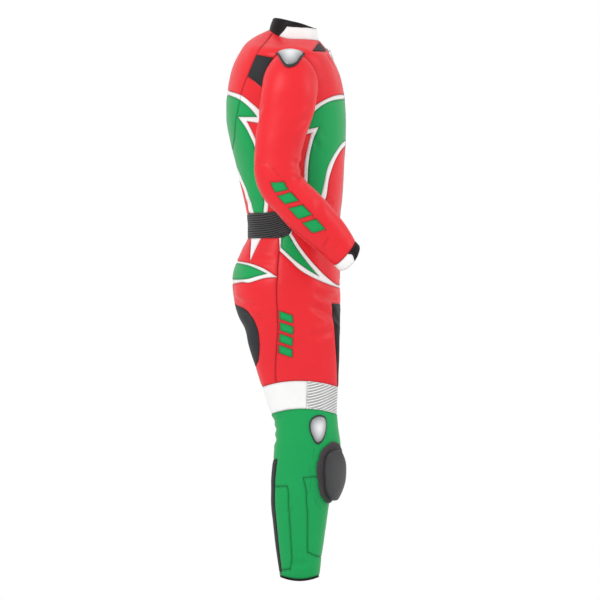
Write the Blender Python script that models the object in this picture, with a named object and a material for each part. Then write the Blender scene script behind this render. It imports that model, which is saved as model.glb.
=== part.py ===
"""Motorcycle race suit: one-piece leather suit, worn shape with nobody in it.

Metres, +Z up. The front faces +X and the wearer's right side is at -Y. The origin is
the middle of the wearer's shoulder line. Every table below is in millimetres.

The body and each sleeve are one smooth form. The seams are drawn on the form, the form
is cut along them into flat pieces of pattern, and each piece becomes a leather wall.
"""

import math
from collections import namedtuple

import bmesh
import bpy
from mathutils import Matrix, Vector
from mathutils.geometry import delaunay_2d_cdt

MM = 0.001
LEATHER = 2.0  # wall of a leather panel
SEAM_GAP = 0.3  # between two panels at a seam
CELL = 42.0  # usual spacing of the points inside a panel
FILL_CLEARANCE = 0.42  # cells by which they stay clear of its seams
SEAM_STEP = 40.0  # usual spacing of the points along a seam
BODY_MM_PER_DEGREE = 2.1  # flat width of the body pattern
SLEEVE_MM_PER_DEGREE = 1.2
SLEEVE_MM_PER_RING = 32.0
COLLAR_MM_PER_DEGREE = 1.2

CROTCH_TOP = -632.0  # where the centre seam starts to turn under
LEG_SPLIT_END = -775.0  # where the leg is a full round tube
CROTCH_DEPTH = 70.0
LEG_CENTRE_Y = 100.0
THIGH_GAP = 16.0  # from the middle plane to the inner side of each thigh
THIGH_GAP_END = 60.0  # height below the split over which the thigh takes its own width
BODY_SQUARENESS = 0.10
LEG_SQUARENESS = 0.03
SLEEVE_SQUARENESS = 0.03
COLLAR_SQUARENESS = 0.05
HEM_DIP = 10.0
ZIP_HALF_WIDTH = 8.0
ZIP_END = -606.0
ARMHOLE = {"angle": 90.0, "level": -98.0, "half_angle": 23.0, "half_level": 85.0, "points": 20}

# Rows above the armpit: each runs from the centre front over the side to the centre back.
ShoulderRow = namedtuple("ShoulderRow", "v front_x front_z back_x back_z side_x side_y side_z")
SHOULDER_ROWS = [
    ShoulderRow(90, 70, 17, -59, 45, 4, 74, 21),
    ShoulderRow(35, 93, -12, -105, 20, -2, 132, 8),
    ShoulderRow(-20, 107, -36, -130, -5, -6, 183, -13),
    ShoulderRow(-75, 124, -75, -155, -57, -9, 184, -72),
    ShoulderRow(-130, 135, -128, -168, -122, -12, 176, -130),
]
# Level rows from the armpit to the hem.
LevelRow = namedtuple("LevelRow", "v front_x back_x side_y")
LEVEL_ROWS = [
    LevelRow(-185, 139, -170, 168),
    LevelRow(-220, 139, -165, 166),
    LevelRow(-260, 138, -157, 163),
    LevelRow(-300, 135, -146, 158),
    LevelRow(-345, 133, -137, 151),
    LevelRow(-390, 130, -126, 146),
    LevelRow(-435, 125, -117, 144),
    LevelRow(-470, 124, -115, 144),
    LevelRow(-500, 124, -116, 147),
    LevelRow(-525, 124, -129, 153),
    LevelRow(-555, 124, -142, 163),
    LevelRow(-585, 124, -152, 172),
    LevelRow(-615, 124, -155, 179),
    LevelRow(-645, 125, -152, 183),
    LevelRow(-672, 125, -147, 185),
    LevelRow(-700, 124, -137, 186),
    LevelRow(-732, 124, -122, 186),
    LevelRow(-768, 123, -114, 184),
    LevelRow(-805, 122, -103, 181),
    LevelRow(-845, 121, -90, 178),
    LevelRow(-884, 120, -77, 175),
    LevelRow(-920, 118, -65, 174),
    LevelRow(-955, 117, -53, 173),
    LevelRow(-985, 119, -43, 172),
    LevelRow(-1010, 123, -41, 171),
    LevelRow(-1035, 126, -44, 170),
    LevelRow(-1062, 124, -47, 169),
    LevelRow(-1095, 121, -51, 168),
    LevelRow(-1125, 117, -54, 167),
    LevelRow(-1150, 109, -54, 166),
    LevelRow(-1172, 100, -54, 166),
    LevelRow(-1195, 95, -53, 165),
    LevelRow(-1225, 91, -50, 163),
    LevelRow(-1270, 84, -45, 159),
    LevelRow(-1320, 77, -39, 154),
    LevelRow(-1380, 70, -31, 150),
    LevelRow(-1440, 63, -23, 146),
]
# Rings of the right sleeve after the armhole; lift raises the outer side of a ring.
SleeveRing = namedtuple("SleeveRing", "rear_x rear_z front_x front_z centre_y half_y lift")
SLEEVE_RINGS = [
    SleeveRing(-76, -104, 66, -102, 200, 30, 82),
    SleeveRing(-78, -122, 65, -120, 216, 47, 66),
    SleeveRing(-82, -150, 62, -146, 227, 55, 43),
    SleeveRing(-86, -186, 53, -180, 231, 56, 18),
    SleeveRing(-93, -225, 41, -216, 235, 56, 4),
    SleeveRing(-96, -262, 29, -252, 239, 55, 0),
    SleeveRing(-98, -300, 21, -287, 243, 54, 0),
    SleeveRing(-97, -332, 20, -305, 246, 54, 0),
    SleeveRing(-88, -366, 20, -320, 248, 54, 0),
    SleeveRing(-68, -402, 25, -336, 249, 53, 0),
    SleeveRing(-40, -431, 40, -353, 249, 52, 0),
    SleeveRing(-7, -467, 67, -379, 247, 50, 0),
    SleeveRing(26, -497, 97, -411, 243, 48, 0),
    SleeveRing(59, -526, 125, -445, 239, 45, 0),
    SleeveRing(85, -548, 146, -474, 236, 43, 0),
    SleeveRing(109, -567, 164, -504, 233, 41, 0),
    SleeveRing(125, -582, 177, -519, 231, 40, 0),
    SleeveRing(141, -597, 190, -534, 229, 39, 0),
]
CUFF_SEAM_RING = 16.0
SLEEVE_END_RING = 17.0
CUFF_BULGE = 0.35  # rings by which the outer side of the cuff runs on towards the hand
SLEEVE_REAR_SEAM = 198.0
SLEEVE_FRONT_SEAM = -18.0
CUFF_TAB_EDGE = 55.0

CollarRow = namedtuple("CollarRow", "v front_x front_z back_x back_z side_x side_y side_z")
COLLAR_ROWS = [
    CollarRow(0, 70, 17, -59, 45, 4, 74, 21),
    CollarRow(1, 64, 50, -49, 75, 8, 66, 66),
]
COLLAR_HEIGHT = 40.0
COLLAR_PANEL_EDGE = [(126, 0), (117, 0.35), (109, 0.70), (74, 0.68), (43, 0.79), (18, 0.90), (0, 0.92)]
NECK_LEVEL = 90
NECK_STEP = 18  # degrees between the points that the collar and the body share
PRINCESS_AT_NECK = 144

# Seams of the right half seen from the side, as (x, z). A seam runs past its end where it
# has to meet another one.
PRINCESS_SEAM = [(-83, -5), (-93, -20), (-116, -75), (-131, -117), (-141, -165), (-149, -231)]
STRETCH_TOP = [(-93, -20), (-72, -24), (-52, -27)]
STRETCH_BOTTOM = [(-116, -75), (-96, -90), (-74, -106)]
BELT_TOP = [(-79, -432), (-40, -427)]
BELT_BOTTOM = [(-71, -497), (-27, -496), (-8, -488)]
SIDE_SEAM = [(-37, -595), (-38, -681), (-40, -788), (-43, -863)]
REAR_STRETCH_ARC = [(-122, -682), (-102, -707), (-88, -733), (-86, -762), (-87, -794)]
INNER_THIGH_EDGE = [(103, -667), (108, -740), (114, -820)]
SHIN_PANEL = [(60, -1117), (29, -1120), (38, -1161), (40, -1204), (40, -1314), (62, -1324)]
CALF_PANEL = [(-12, -1142), (-9, -1167), (-6, -1234), (0, -1329), (-4, -1357), (-29, -1361)]
GUSSET_SIDES = (152, 208)  # degrees
GUSSET_ENDS = (-1072, -1366)
CALF_PANEL_ENDS = (-1142, -1361)  # where its edges meet the gusset
SHIN_PANEL_INNER = [(-20, -1326), (-60, -1322), (-60, -1118)]  # its edge inside the leg, in degrees
BACK_PANEL_END = -268.0  # where the two princess seams meet
BACK_BELT = (-435, -498)  # top and bottom of the accordion at the middle of the back
SIDE_SEAM_MIDDLE = -300  # a place on the seam under the arm
STRETCH_CROTCH = -668.0  # top edge of the stretch panels inside the thigh
STRETCH_CROTCH_PLACES = (180, 185, 190, 200, 215, 230, 250, 270)
REAR_STRETCH_TOP = (168, -671)  # second point of its upper edge, in degrees and height
REAR_STRETCH_END = -832
INNER_EDGE_START = 20  # degrees
INNER_EDGE_FOOT = 11  # degrees, at the knee band
BELT_LEVEL = (-422.0, -470.0)  # top and bottom of the accordion at the side
WAIST_FRONT = (45, -476.0)
KNEE_BAND = (-884.0, -954.0)  # top and bottom edges, at the front and the back
KNEE_BAND_RISE = (16.0, 14.0)
KNEE_FOLDS_EDGE = 82.0  # degrees, where the plain band meets the accordion
HEM_BAND = 6.0
HEM_LEVEL = -1379.0

FILL_STEPS = {"trunk": 15, "thigh": 20, "shin": 30}  # degrees between the points inside a panel

# Hard pieces. The shoulder cup is in degrees and rings of the sleeve, the others in degrees and
# height on the leg. The first point of each list is its centre.
REST_GAP = 0.6  # between a hard piece and the leather under it
BASE_GAP = 1.5  # the same under the knee slider, where the shin curves in
SHOULDER_CUP = [
    (90, 0.95),
    (60, 0.10), (76, 0.02), (104, 0.02), (121, 0.10), (117, 0.8), (105, 1.62), (90, 1.85), (78, 1.58),
    (64, 0.8),
]
KNEE_CUP = [
    (68, -992),
    (76, -958), (62, -960), (54, -975), (52, -992), (57, -1012), (68, -1031), (79, -1012), (85, -992),
    (84, -974),
]
SLIDER_BASE = [
    (36, -1108),
    (44, -1028), (14, -1029), (0, -1034), (-4, -1060), (-4, -1150), (3, -1176), (24, -1188), (46, -1172),
    (62, -1143), (71, -1097), (66, -1052),
]
SLIDER_PUCK = [
    (36, -1108),
    (44, -1045), (28, -1052), (13, -1072), (8, -1092), (8, -1128), (12, -1152), (22, -1172), (34, -1168),
    (48, -1140), (57, -1097), (54, -1062),
]
CUP_SCALE = (1.19, -48.0)  # millimetres per degree and per ring at the shoulder
LEG_SCALE = (1.5, 1.0)
CUP_EDGE = {"shoulder": 2.5, "knee": 2.0, "base": 6.0, "puck": 12.0}  # height of each piece's edge
CUP_CROWN = {"shoulder": 8.0, "knee": 7.0}
RIM_HEIGHT = 4.0
RIM_SPAN = (1.02, 1.13)  # inner and outer edge of the rubber rim, in shares of the cup's reach
BASE_HEIGHT = 7.0
PUCK_HEIGHT = 17.0
SLEEVE_STEP = 24.0  # degrees between the points round a sleeve
SLEEVE_FILL_RINGS = 1.33  # rings between them along the sleeve
SLIDER_LEVEL = 40.0  # place of the zip slider on the centre front
SLIDER_SIZE = (13.0, 9.0, 3.5)  # along, across and out
PIN_PLACE = (-4.0, 5.8)  # along the zip and out of the chest
PIN_RADIUS = 0.7
EAR_INSIDE = 2.1
EAR_THICKNESS = 1.3
BARREL_RADIUS = 1.9
TAB_LENGTH = 25.0
TAB_NECK = 5.0
TAB_WIDTH = 7.0
TAB_THICKNESS = 1.6
TAB_DROOP = 14.0  # degrees by which the tab hangs towards the chest
EAR_LENGTH = 3.2
EAR_ABOVE_PIN = 1.0
PIN_INSET = 0.2  # by which the pin ends inside each ear
NECK_INSET = 0.2  # by which the tab's neck is narrower on each side, and thinner
NECK_START = 1.3

COLOURS = {
    "red_leather": ((0.86, 0.045, 0.05), 0.45, 0.0),
    "green_leather": ((0.0, 0.40, 0.10), 0.45, 0.0),
    "white_leather": ((0.86, 0.86, 0.85), 0.45, 0.0),
    "black_leather": ((0.02, 0.018, 0.018), 0.5, 0.0),
    "stretch_fabric": ((0.05, 0.053, 0.056), 0.85, 0.0),
    "accordion_fabric": ((0.03, 0.03, 0.03), 0.7, 0.0),
    "silver_cup": ((0.72, 0.72, 0.74), 0.28, 0.6),
    "black_rubber": ((0.02, 0.02, 0.022), 0.6, 0.0),
    "slider_plastic": ((0.075, 0.075, 0.08), 0.5, 0.0),
    "slider_base": ((0.10, 0.085, 0.09), 0.7, 0.0),
    "zip_tape": ((0.03, 0.03, 0.032), 0.7, 0.0),
    "zip_metal": ((0.55, 0.55, 0.57), 0.3, 1.0),
}


# ---------------------------------------------------------------- helpers


def material(slot):
    found = bpy.data.materials.get(slot)
    if found:
        return found
    colour, roughness, metallic = COLOURS[slot]
    made = bpy.data.materials.new(slot)
    made.use_nodes = True
    shader = made.node_tree.nodes["Principled BSDF"]
    shader.inputs["Base Color"].default_value = (*colour, 1.0)
    shader.inputs["Roughness"].default_value = roughness
    shader.inputs["Metallic"].default_value = metallic
    made.diffuse_color = (*colour, 1.0)
    return made


def add_object(name, bm, slot):
    """Turns a bmesh in millimetres into a named object in metres."""
    bmesh.ops.scale(bm, vec=(MM, MM, MM), verts=bm.verts)
    mesh = bpy.data.meshes.new(name)
    bm.to_mesh(mesh)
    bm.free()
    mesh.materials.append(material(slot))
    made = bpy.data.objects.new(name, mesh)
    SUIT.objects.link(made)
    return made


def face_out(bm):
    """Turns the faces of a closed piece outwards."""
    bmesh.ops.recalc_face_normals(bm, faces=bm.faces)
    if bm.calc_volume(signed=True) < 0:
        bmesh.ops.reverse_faces(bm, faces=bm.faces)


def mirrored(bm):
    """A copy for the wearer's left side."""
    copy = bm.copy()
    bmesh.ops.scale(copy, vec=(1, -1, 1), verts=copy.verts)
    bmesh.ops.reverse_faces(copy, faces=copy.faces)
    return copy


def smooth_step(t):
    t = min(1.0, max(0.0, t))
    return t * t * (3 - 2 * t)


def curve_through(rows, at):
    """Values of evenly numbered rows at a fractional row number, on a Catmull-Rom curve."""
    last = len(rows) - 1
    at = min(max(at, 0.0), last)
    i = min(int(at), last - 1)
    t = at - i
    p1, p2 = rows[i], rows[i + 1]
    p0 = rows[i - 1] if i > 0 else [2 * a - b for a, b in zip(p1, p2)]
    p3 = rows[i + 2] if i + 2 <= last else [2 * b - a for a, b in zip(p1, p2)]
    return [
        0.5 * (2 * b + (c - a) * t + (2 * a - 5 * b + 4 * c - d) * t * t + (3 * b - a - 3 * c + d) * t ** 3)
        for a, b, c, d in zip(p0, p1, p2, p3)
    ]


def row_number(levels, v):
    """Fractional number of the row at level v; the levels run downwards."""
    for i in range(len(levels) - 1):
        if v >= levels[i + 1] or i == len(levels) - 2:
            return i + (levels[i] - v) / (levels[i] - levels[i + 1])


def squarish(angle, squareness):
    """Cosine and sine of an ellipse whose quarters are filled out a little."""
    c, s = math.cos(angle), math.sin(angle)
    return c * (1 + squareness * s * s), s * (1 + squareness * c * c)


# ---------------------------------------------------------------- the three forms

BODY_TABLE = SHOULDER_ROWS + [
    ShoulderRow(r.v, r.front_x, r.v, r.back_x, r.v, (r.front_x + r.back_x) / 2, r.side_y, r.v)
    for r in LEVEL_ROWS
]
BODY_LEVELS = [row.v for row in BODY_TABLE]


def leg_share(v):
    """0 where the halves part at the crotch and 1 where the leg is round."""
    return min(1.0, max(0.0, (CROTCH_TOP - v) / (CROTCH_TOP - LEG_SPLIT_END)))


def body_squareness(v):
    return BODY_SQUARENESS + (LEG_SQUARENESS - BODY_SQUARENESS) * smooth_step(leg_share(v))


def body(degrees, v):
    """Point of the right half. 0 is the front, 90 the side, 180 the back, 270 or -90 the inseam."""
    row = ShoulderRow(*curve_through(BODY_TABLE, row_number(BODY_LEVELS, v)))
    angle = math.radians(degrees)
    share = leg_share(v)
    c, s = squarish(angle, body_squareness(v))
    end_x, end_z = (row.front_x, row.front_z) if c >= 0 else (row.back_x, row.back_z)
    x = row.side_x + (end_x - row.side_x) * abs(c)
    z = row.side_z + (end_z - row.side_z) * math.cos(angle) ** 2
    centre = LEG_CENTRE_Y * smooth_step(share)
    if s >= 0 or v > CROTCH_TOP + 0.01:
        y = centre + (row.side_y - centre) * s
    elif share < 1:
        y = centre + (centre - THIGH_GAP * math.sqrt(share)) * s
        z += CROTCH_DEPTH * (1 - share) * math.sin(angle)
    else:
        y = centre + (row.side_y - centre) * s
        blend = smooth_step((LEG_SPLIT_END - v) / THIGH_GAP_END)
        y = y * blend + (centre + (centre - THIGH_GAP) * s) * (1 - blend)
    return Vector((x, -y, z))


def armhole_point(degrees):
    angle = math.radians(degrees)
    return body(
        ARMHOLE["angle"] - ARMHOLE["half_angle"] * math.cos(angle),
        ARMHOLE["level"] + ARMHOLE["half_level"] * math.sin(angle),
    )


def sleeve_ring_point(ring, degrees):
    c, s = squarish(math.radians(degrees), SLEEVE_SQUARENESS)
    middle = Vector(((ring.rear_x + ring.front_x) / 2, -ring.centre_y, (ring.rear_z + ring.front_z) / 2))
    across = Vector((ring.front_x - ring.rear_x, 0, ring.front_z - ring.rear_z)) / 2
    return middle + across * c + Vector((0, -ring.half_y, ring.lift)) * s


def sleeve(degrees, ring):
    """Point of the right sleeve. 0 is its front, 90 its outer side; ring 0 is the armhole."""
    points = [armhole_point(degrees)] + [sleeve_ring_point(r, degrees) for r in SLEEVE_RINGS]
    return Vector(curve_through(points, ring))


def collar(degrees, height):
    row = CollarRow(*[a + (b - a) * height for a, b in zip(*COLLAR_ROWS)])
    angle = math.radians(degrees)
    c, s = squarish(angle, COLLAR_SQUARENESS)
    end_x, end_z = (row.front_x, row.front_z) if c >= 0 else (row.back_x, row.back_z)
    x = row.side_x + (end_x - row.side_x) * abs(c)
    z = row.side_z + (end_z - row.side_z) * math.cos(angle) ** 2
    return Vector((x, -row.side_y * s, z))


STEPS = {body: (0.5, -1.0), sleeve: (0.5, 0.05), collar: (0.5, -0.02)}  # round each form and down it


def outward(form, a, b):
    """Unit normal of a form at (a, b), pointing out."""
    step_a, step_b = STEPS[form]
    along = form(a + step_a, b) - form(a - step_a, b)
    down = form(a, b + step_b) - form(a, b)
    return along.cross(down).normalized()


# ---------------------------------------------------------------- seams in pattern space


def on_body(x, z):
    """Pattern place (degrees, v) of the outer side's point that is seen at (x, z)."""
    low, high = BODY_LEVELS[-1], BODY_LEVELS[0]
    degrees = 90.0
    for _ in range(40):
        v = (low + high) / 2
        row = ShoulderRow(*curve_through(BODY_TABLE, row_number(BODY_LEVELS, v)))
        end_x = row.front_x if x >= row.side_x else row.back_x
        reach = min(1.0, (x - row.side_x) / (end_x - row.side_x))
        squareness = body_squareness(v)
        angle = math.acos(reach)
        for _ in range(4):
            angle = math.acos(min(1.0, reach / (1 + squareness * math.sin(angle) ** 2)))
        degrees = math.degrees(angle) if x >= row.side_x else 180 - math.degrees(angle)
        if body(degrees, v).z > z:
            high = v
        else:
            low = v
    return degrees, v


def spaced(points, step):
    """The same line with its long stretches divided, in pattern millimetres."""
    out = [points[0]]
    for a, b in zip(points, points[1:]):
        parts = max(1, round(math.dist(a, b) / step))
        shares = [k / parts for k in range(1, parts + 1)]
        out += [(a[0] + (b[0] - a[0]) * t, a[1] + (b[1] - a[1]) * t) for t in shares]
    return out


def distance_to_line(p, a, b):
    ab = (b[0] - a[0], b[1] - a[1])
    length = ab[0] ** 2 + ab[1] ** 2
    t = 0 if length == 0 else min(1, max(0, ((p[0] - a[0]) * ab[0] + (p[1] - a[1]) * ab[1]) / length))
    return math.dist(p, (a[0] + ab[0] * t, a[1] + ab[1] * t))


def cut_form(form, width, height, outline, seams, fill, seeds):
    """Cuts a form into its panels. The outline, the seams and the fill points are places in
    pattern space; width and height turn them into flat millimetres. Returns a bmesh for each
    seed, with the form's normals in a vertex layer."""
    flat = [[(a * width, b * height) for a, b in line] for line in [outline + outline[:1], *seams]]
    lines = [spaced(line, SEAM_STEP) for line in flat]
    points, edges = [], []
    for line in lines:
        first = len(points)
        points += [Vector(p) for p in line]
        edges += [(first + k, first + k + 1) for k in range(len(line) - 1)]
    stretches = [(line[k], line[k + 1]) for line in lines for k in range(len(line) - 1)]
    for a, b in fill:
        place = (a * width, b * height)
        if min(distance_to_line(place, p, q) for p, q in stretches) > FILL_CLEARANCE * CELL:
            points.append(Vector(place))
    places, all_edges, triangles, _, cut_from, _ = delaunay_2d_cdt(points, edges, [], 1, 0.6)
    cuts = {frozenset(e) for e, source in zip(all_edges, cut_from) if source}
    beside = {}
    for number, triangle in enumerate(triangles):
        for k in range(3):
            beside.setdefault(frozenset((triangle[k - 1], triangle[k])), []).append(number)
    island = {}
    for start in range(len(triangles)):
        if start in island:
            continue
        todo = [start]
        island[start] = start
        while todo:
            triangle = triangles[todo.pop()]
            for k in range(3):
                edge = frozenset((triangle[k - 1], triangle[k]))
                if edge in cuts:
                    continue
                for other in beside[edge]:
                    if other not in island:
                        island[other] = start
                        todo.append(other)
    centres = [sum((places[i] for i in t), Vector((0, 0))) / 3 for t in triangles]
    panels = {}
    for name, (a, b) in seeds.items():
        seed = Vector((a * width, b * height))
        nearest = min(range(len(triangles)), key=lambda k: (centres[k] - seed).length)
        bm = bmesh.new()
        normal_layer = bm.verts.layers.float_vector.new("form_normal")
        made = {}
        for number, triangle in enumerate(triangles):
            if island[number] != island[nearest]:
                continue
            for i in triangle:
                if i not in made:
                    a_i, b_i = places[i].x / width, places[i].y / height
                    made[i] = bm.verts.new(form(a_i, b_i))
                    made[i][normal_layer] = outward(form, a_i, b_i)
            bm.faces.new([made[i] for i in triangle])
        bmesh.ops.remove_doubles(bm, verts=bm.verts, dist=0.05)
        panels[name] = bm
    return panels


def in_middle(v, side):
    """Whether a point lies in the plane between the halves, at the front (1) or the back (-1)."""
    return abs(v.co.y) < 0.01 and v.co.x * side > 0


def draw_in(bm, distance, side):
    """Draws the free edge of a panel in by a distance, along the surface. Where the panel
    crosses the middle, at the front (1) or the back (-1), its edge there stays."""
    shift = {}
    for edge in [e for e in bm.edges if e.is_boundary]:
        a, b = edge.verts
        if in_middle(a, side) and in_middle(b, side):
            continue
        face = edge.link_faces[0]
        along = (b.co - a.co).normalized()
        inward = (face.calc_center_median() - a.co)
        inward -= along * inward.dot(along)
        inward.normalize()
        for v in (a, b):
            shift.setdefault(v, []).append(inward)
    for v, directions in shift.items():
        total = sum(directions, Vector())
        if len(directions) == 2:
            total /= max(0.35, 1 + directions[0].dot(directions[1]))
        if in_middle(v, side):
            total.y = 0
        v.co += total * distance


def wall(bm, thickness, side=0):
    """Gives a panel its seam gap and its thickness, into the hollow."""
    draw_in(bm, SEAM_GAP / 2, side)
    layer = bm.verts.layers.float_vector["form_normal"]
    made = bmesh.ops.extrude_face_region(bm, geom=bm.faces[:], use_keep_orig=True)
    for v in [g for g in made["geom"] if isinstance(g, bmesh.types.BMVert)]:
        v.co -= v[layer] * thickness
    face_out(bm)


def join_halves(bm, side):
    """Adds the left half of a panel that crosses the middle."""
    for v in bm.verts:
        if in_middle(v, side):
            v.co.y = 0
    middle = [f for f in bm.faces if all(in_middle(v, side) for v in f.verts)]
    bmesh.ops.delete(bm, geom=middle, context="FACES_ONLY")
    bmesh.ops.mirror(bm, geom=bm.verts[:] + bm.edges[:] + bm.faces[:], axis="Y", merge_dist=0.02)
    face_out(bm)


def add_pair(name, bm, slot):
    """The left and the right one of a panel or another closed piece."""
    add_object(name + "_L", mirrored(bm), slot)
    add_object(name + "_R", bm, slot)


def add_middle(name, bm, slot, side):
    wall(bm, LEATHER, side)
    join_halves(bm, side)
    add_object(name, bm, slot)


# ---------------------------------------------------------------- body panels


def zip_edge(v):
    """Degrees from the middle at which the zip's edge lies."""
    row = ShoulderRow(*curve_through(BODY_TABLE, row_number(BODY_LEVELS, v)))
    return math.degrees(math.asin(ZIP_HALF_WIDTH / row.side_y) / (1 + BODY_SQUARENESS))


def knee_edge(which, degrees):
    rise = math.sin(math.radians(degrees)) ** 2
    return KNEE_BAND[which] + KNEE_BAND_RISE[which] * rise


def hem_edge(degrees, up=0.0):
    return HEM_LEVEL - HEM_DIP * math.sin(math.radians(degrees)) ** 2 + up


def body_panels():
    round_leg = range(-90, 271, 20)
    hem = [(a, hem_edge(a)) for a in round_leg]
    outline = (
        [(0, CROTCH_TOP), (-90, CROTCH_TOP)]
        + hem
        + [(270, CROTCH_TOP), (180, CROTCH_TOP)]
        + [(a, NECK_LEVEL) for a in range(180, -1, -NECK_STEP)]
    )
    loop = [360 * k / ARMHOLE["points"] for k in range(ARMHOLE["points"] + 1)]
    armhole = [
        (
            ARMHOLE["angle"] - ARMHOLE["half_angle"] * math.cos(math.radians(t)),
            ARMHOLE["level"] + ARMHOLE["half_level"] * math.sin(math.radians(t)),
        )
        for t in loop
    ]
    rear_top = min(armhole, key=lambda p: (body(*p) - body(*on_body(*STRETCH_TOP[-1]))).length)
    rear_low = min(armhole, key=lambda p: (body(*p) - body(*on_body(*STRETCH_BOTTOM[-1]))).length)
    zip_levels = [NECK_LEVEL - CELL * k for k in range(int((NECK_LEVEL - ZIP_END) / CELL) + 1)] + [ZIP_END]
    side = [(90, ARMHOLE["level"] - ARMHOLE["half_level"]), (90, SIDE_SEAM_MIDDLE), (90, BELT_LEVEL[1])]
    belt_top = [(180, BACK_BELT[0])] + [on_body(*p) for p in BELT_TOP] + [(90, BELT_LEVEL[0])]
    belt_bottom = [(180, BACK_BELT[1])] + [on_body(*p) for p in BELT_BOTTOM] + [(90, BELT_LEVEL[1])]
    lower_side = [belt_bottom[2]] + [on_body(*p) for p in SIDE_SEAM]
    side_foot = (lower_side[-1][0], knee_edge(0, lower_side[-1][0]))
    rear_arc = [(180, STRETCH_CROTCH), REAR_STRETCH_TOP] + [on_body(*p) for p in REAR_STRETCH_ARC]
    rear_arc += [(180, REAR_STRETCH_END), (270, REAR_STRETCH_END)]
    inner_edge = [(a, STRETCH_CROTCH) for a in (*range(-90, 1, 15), INNER_EDGE_START)]
    inner_edge += [on_body(*p) for p in INNER_THIGH_EDGE] + [(INNER_EDGE_FOOT, knee_edge(0, INNER_EDGE_FOOT))]
    left, right = GUSSET_SIDES
    top, foot = GUSSET_ENDS
    calf_top, calf_foot = CALF_PANEL_ENDS
    calf = [(left, calf_top)] + [on_body(*p) for p in CALF_PANEL] + [(left, calf_foot)]
    shin = SHIN_PANEL_INNER[-1:] + [on_body(*p) for p in SHIN_PANEL] + SHIN_PANEL_INNER
    seams = [
        armhole,
        [(PRINCESS_AT_NECK, NECK_LEVEL)] + [on_body(*p) for p in PRINCESS_SEAM] + [(180, BACK_PANEL_END)],
        [on_body(*p) for p in STRETCH_TOP[:-1]] + [rear_top],
        [on_body(*p) for p in STRETCH_BOTTOM[:-1]] + [rear_low],
        side,
        belt_top,
        belt_bottom,
        [(90, BELT_LEVEL[1]), WAIST_FRONT, (zip_edge(WAIST_FRONT[1]), WAIST_FRONT[1])],
        [(zip_edge(v), v) for v in zip_levels] + [(0, ZIP_END)],
        lower_side + [side_foot],
        rear_arc,
        [(a, STRETCH_CROTCH) for a in STRETCH_CROTCH_PLACES],
        inner_edge,
        [(a, knee_edge(0, a)) for a in round_leg],
        [(a, knee_edge(1, a)) for a in round_leg],
        [(KNEE_FOLDS_EDGE, knee_edge(which, KNEE_FOLDS_EDGE)) for which in (0, 1)],
        shin,
        calf,
        [(left, top), (left, calf_top), (left, calf_foot), (left, foot)],
        [(left, top), (right, top), (right, foot), (left, foot)],
        [(a, hem_edge(a, HEM_BAND)) for a in round_leg],
    ]
    fill = []
    v, shifted = NECK_LEVEL - CELL / 2, False
    while v > HEM_LEVEL:
        part = "trunk" if v > CROTCH_TOP else "thigh" if v > KNEE_BAND[1] else "shin"
        step = FILL_STEPS[part]
        first, last = (0, 180) if v > CROTCH_TOP else (-90, 270)
        count = int((last - first) / step)
        fill += [(first + step * (k + 0.5 * shifted), v) for k in range(count + 1)]
        v -= CELL
        shifted = not shifted
    fill = [(a, v) for a, v in fill if (0 < a < 180) or (v < CROTCH_TOP and -90 < a < 270)]
    seeds = {
        "front": (40, -250),
        "back_side": (130, -300),
        "back_centre": (172, -120),
        "shoulder_stretch": on_body(-90, -60),
        "waist_accordion": (140, -465),
        "front_zip": (0.5, -200),
        "front_leg": (60, -600),
        "back_leg": (140, -600),
        "rear_thigh_stretch": (200, -750),
        "inner_thigh": (-45, -750),
        "knee_band": (180, -920),
        "knee_accordion": (0, -920),
        "lower_leg": (90, -1050),
        "shin_panel": (20, -1220),
        "calf_panel": (135, -1250),
        "calf_gusset": (180, -1250),
        "hem_band": (100, hem_edge(100, HEM_BAND / 2)),
    }
    return cut_form(body, BODY_MM_PER_DEGREE, 1.0, outline, seams, fill, seeds)


def sleeve_panels():
    around = range(int(SLEEVE_REAR_SEAM) - 360, int(SLEEVE_REAR_SEAM) + 1, NECK_STEP)
    def ring_line(ring, bulge, angles):
        return [(a, ring + bulge * math.sin(math.radians(a))) for a in angles]

    hand = ring_line(SLEEVE_END_RING, CUFF_BULGE, around)
    outline = [(a, 0) for a in around] + hand[::-1]
    cuff_seam = ring_line(CUFF_SEAM_RING, CUFF_BULGE, around)
    seams = [
        cuff_seam,
        [(SLEEVE_FRONT_SEAM, 0)] + ring_line(CUFF_SEAM_RING, CUFF_BULGE, [SLEEVE_FRONT_SEAM]),
        ring_line(CUFF_SEAM_RING, CUFF_BULGE, [CUFF_TAB_EDGE])
        + ring_line(SLEEVE_END_RING, CUFF_BULGE, [CUFF_TAB_EDGE]),
    ]
    fill = []
    ring, shifted = SLEEVE_FILL_RINGS, False
    while ring < CUFF_SEAM_RING:
        start = around[0] + SLEEVE_STEP * 0.5 * shifted
        fill += [(start + SLEEVE_STEP * k, ring) for k in range(1, int(360 / SLEEVE_STEP))]
        ring += SLEEVE_FILL_RINGS
        shifted = not shifted
    seeds = {
        "sleeve_outer": (90, 8),
        "sleeve_inner": (-90, 8),
        "cuff_black": (-60, 16.4),
        "cuff_tab": (120, 16.8),
    }
    return cut_form(sleeve, SLEEVE_MM_PER_DEGREE, -SLEEVE_MM_PER_RING, outline, seams, fill, seeds)


def collar_panels():
    around = range(0, 181, NECK_STEP)
    outline = [(a, 0) for a in around] + [(a, 1) for a in reversed(around)]
    seeds = {"collar_black": (160, 0.5), "collar_white": (60, 0.3)}
    return cut_form(collar, COLLAR_MM_PER_DEGREE, COLLAR_HEIGHT, outline, [COLLAR_PANEL_EDGE], [], seeds)


# ---------------------------------------------------------------- hard pieces on the leather


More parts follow.
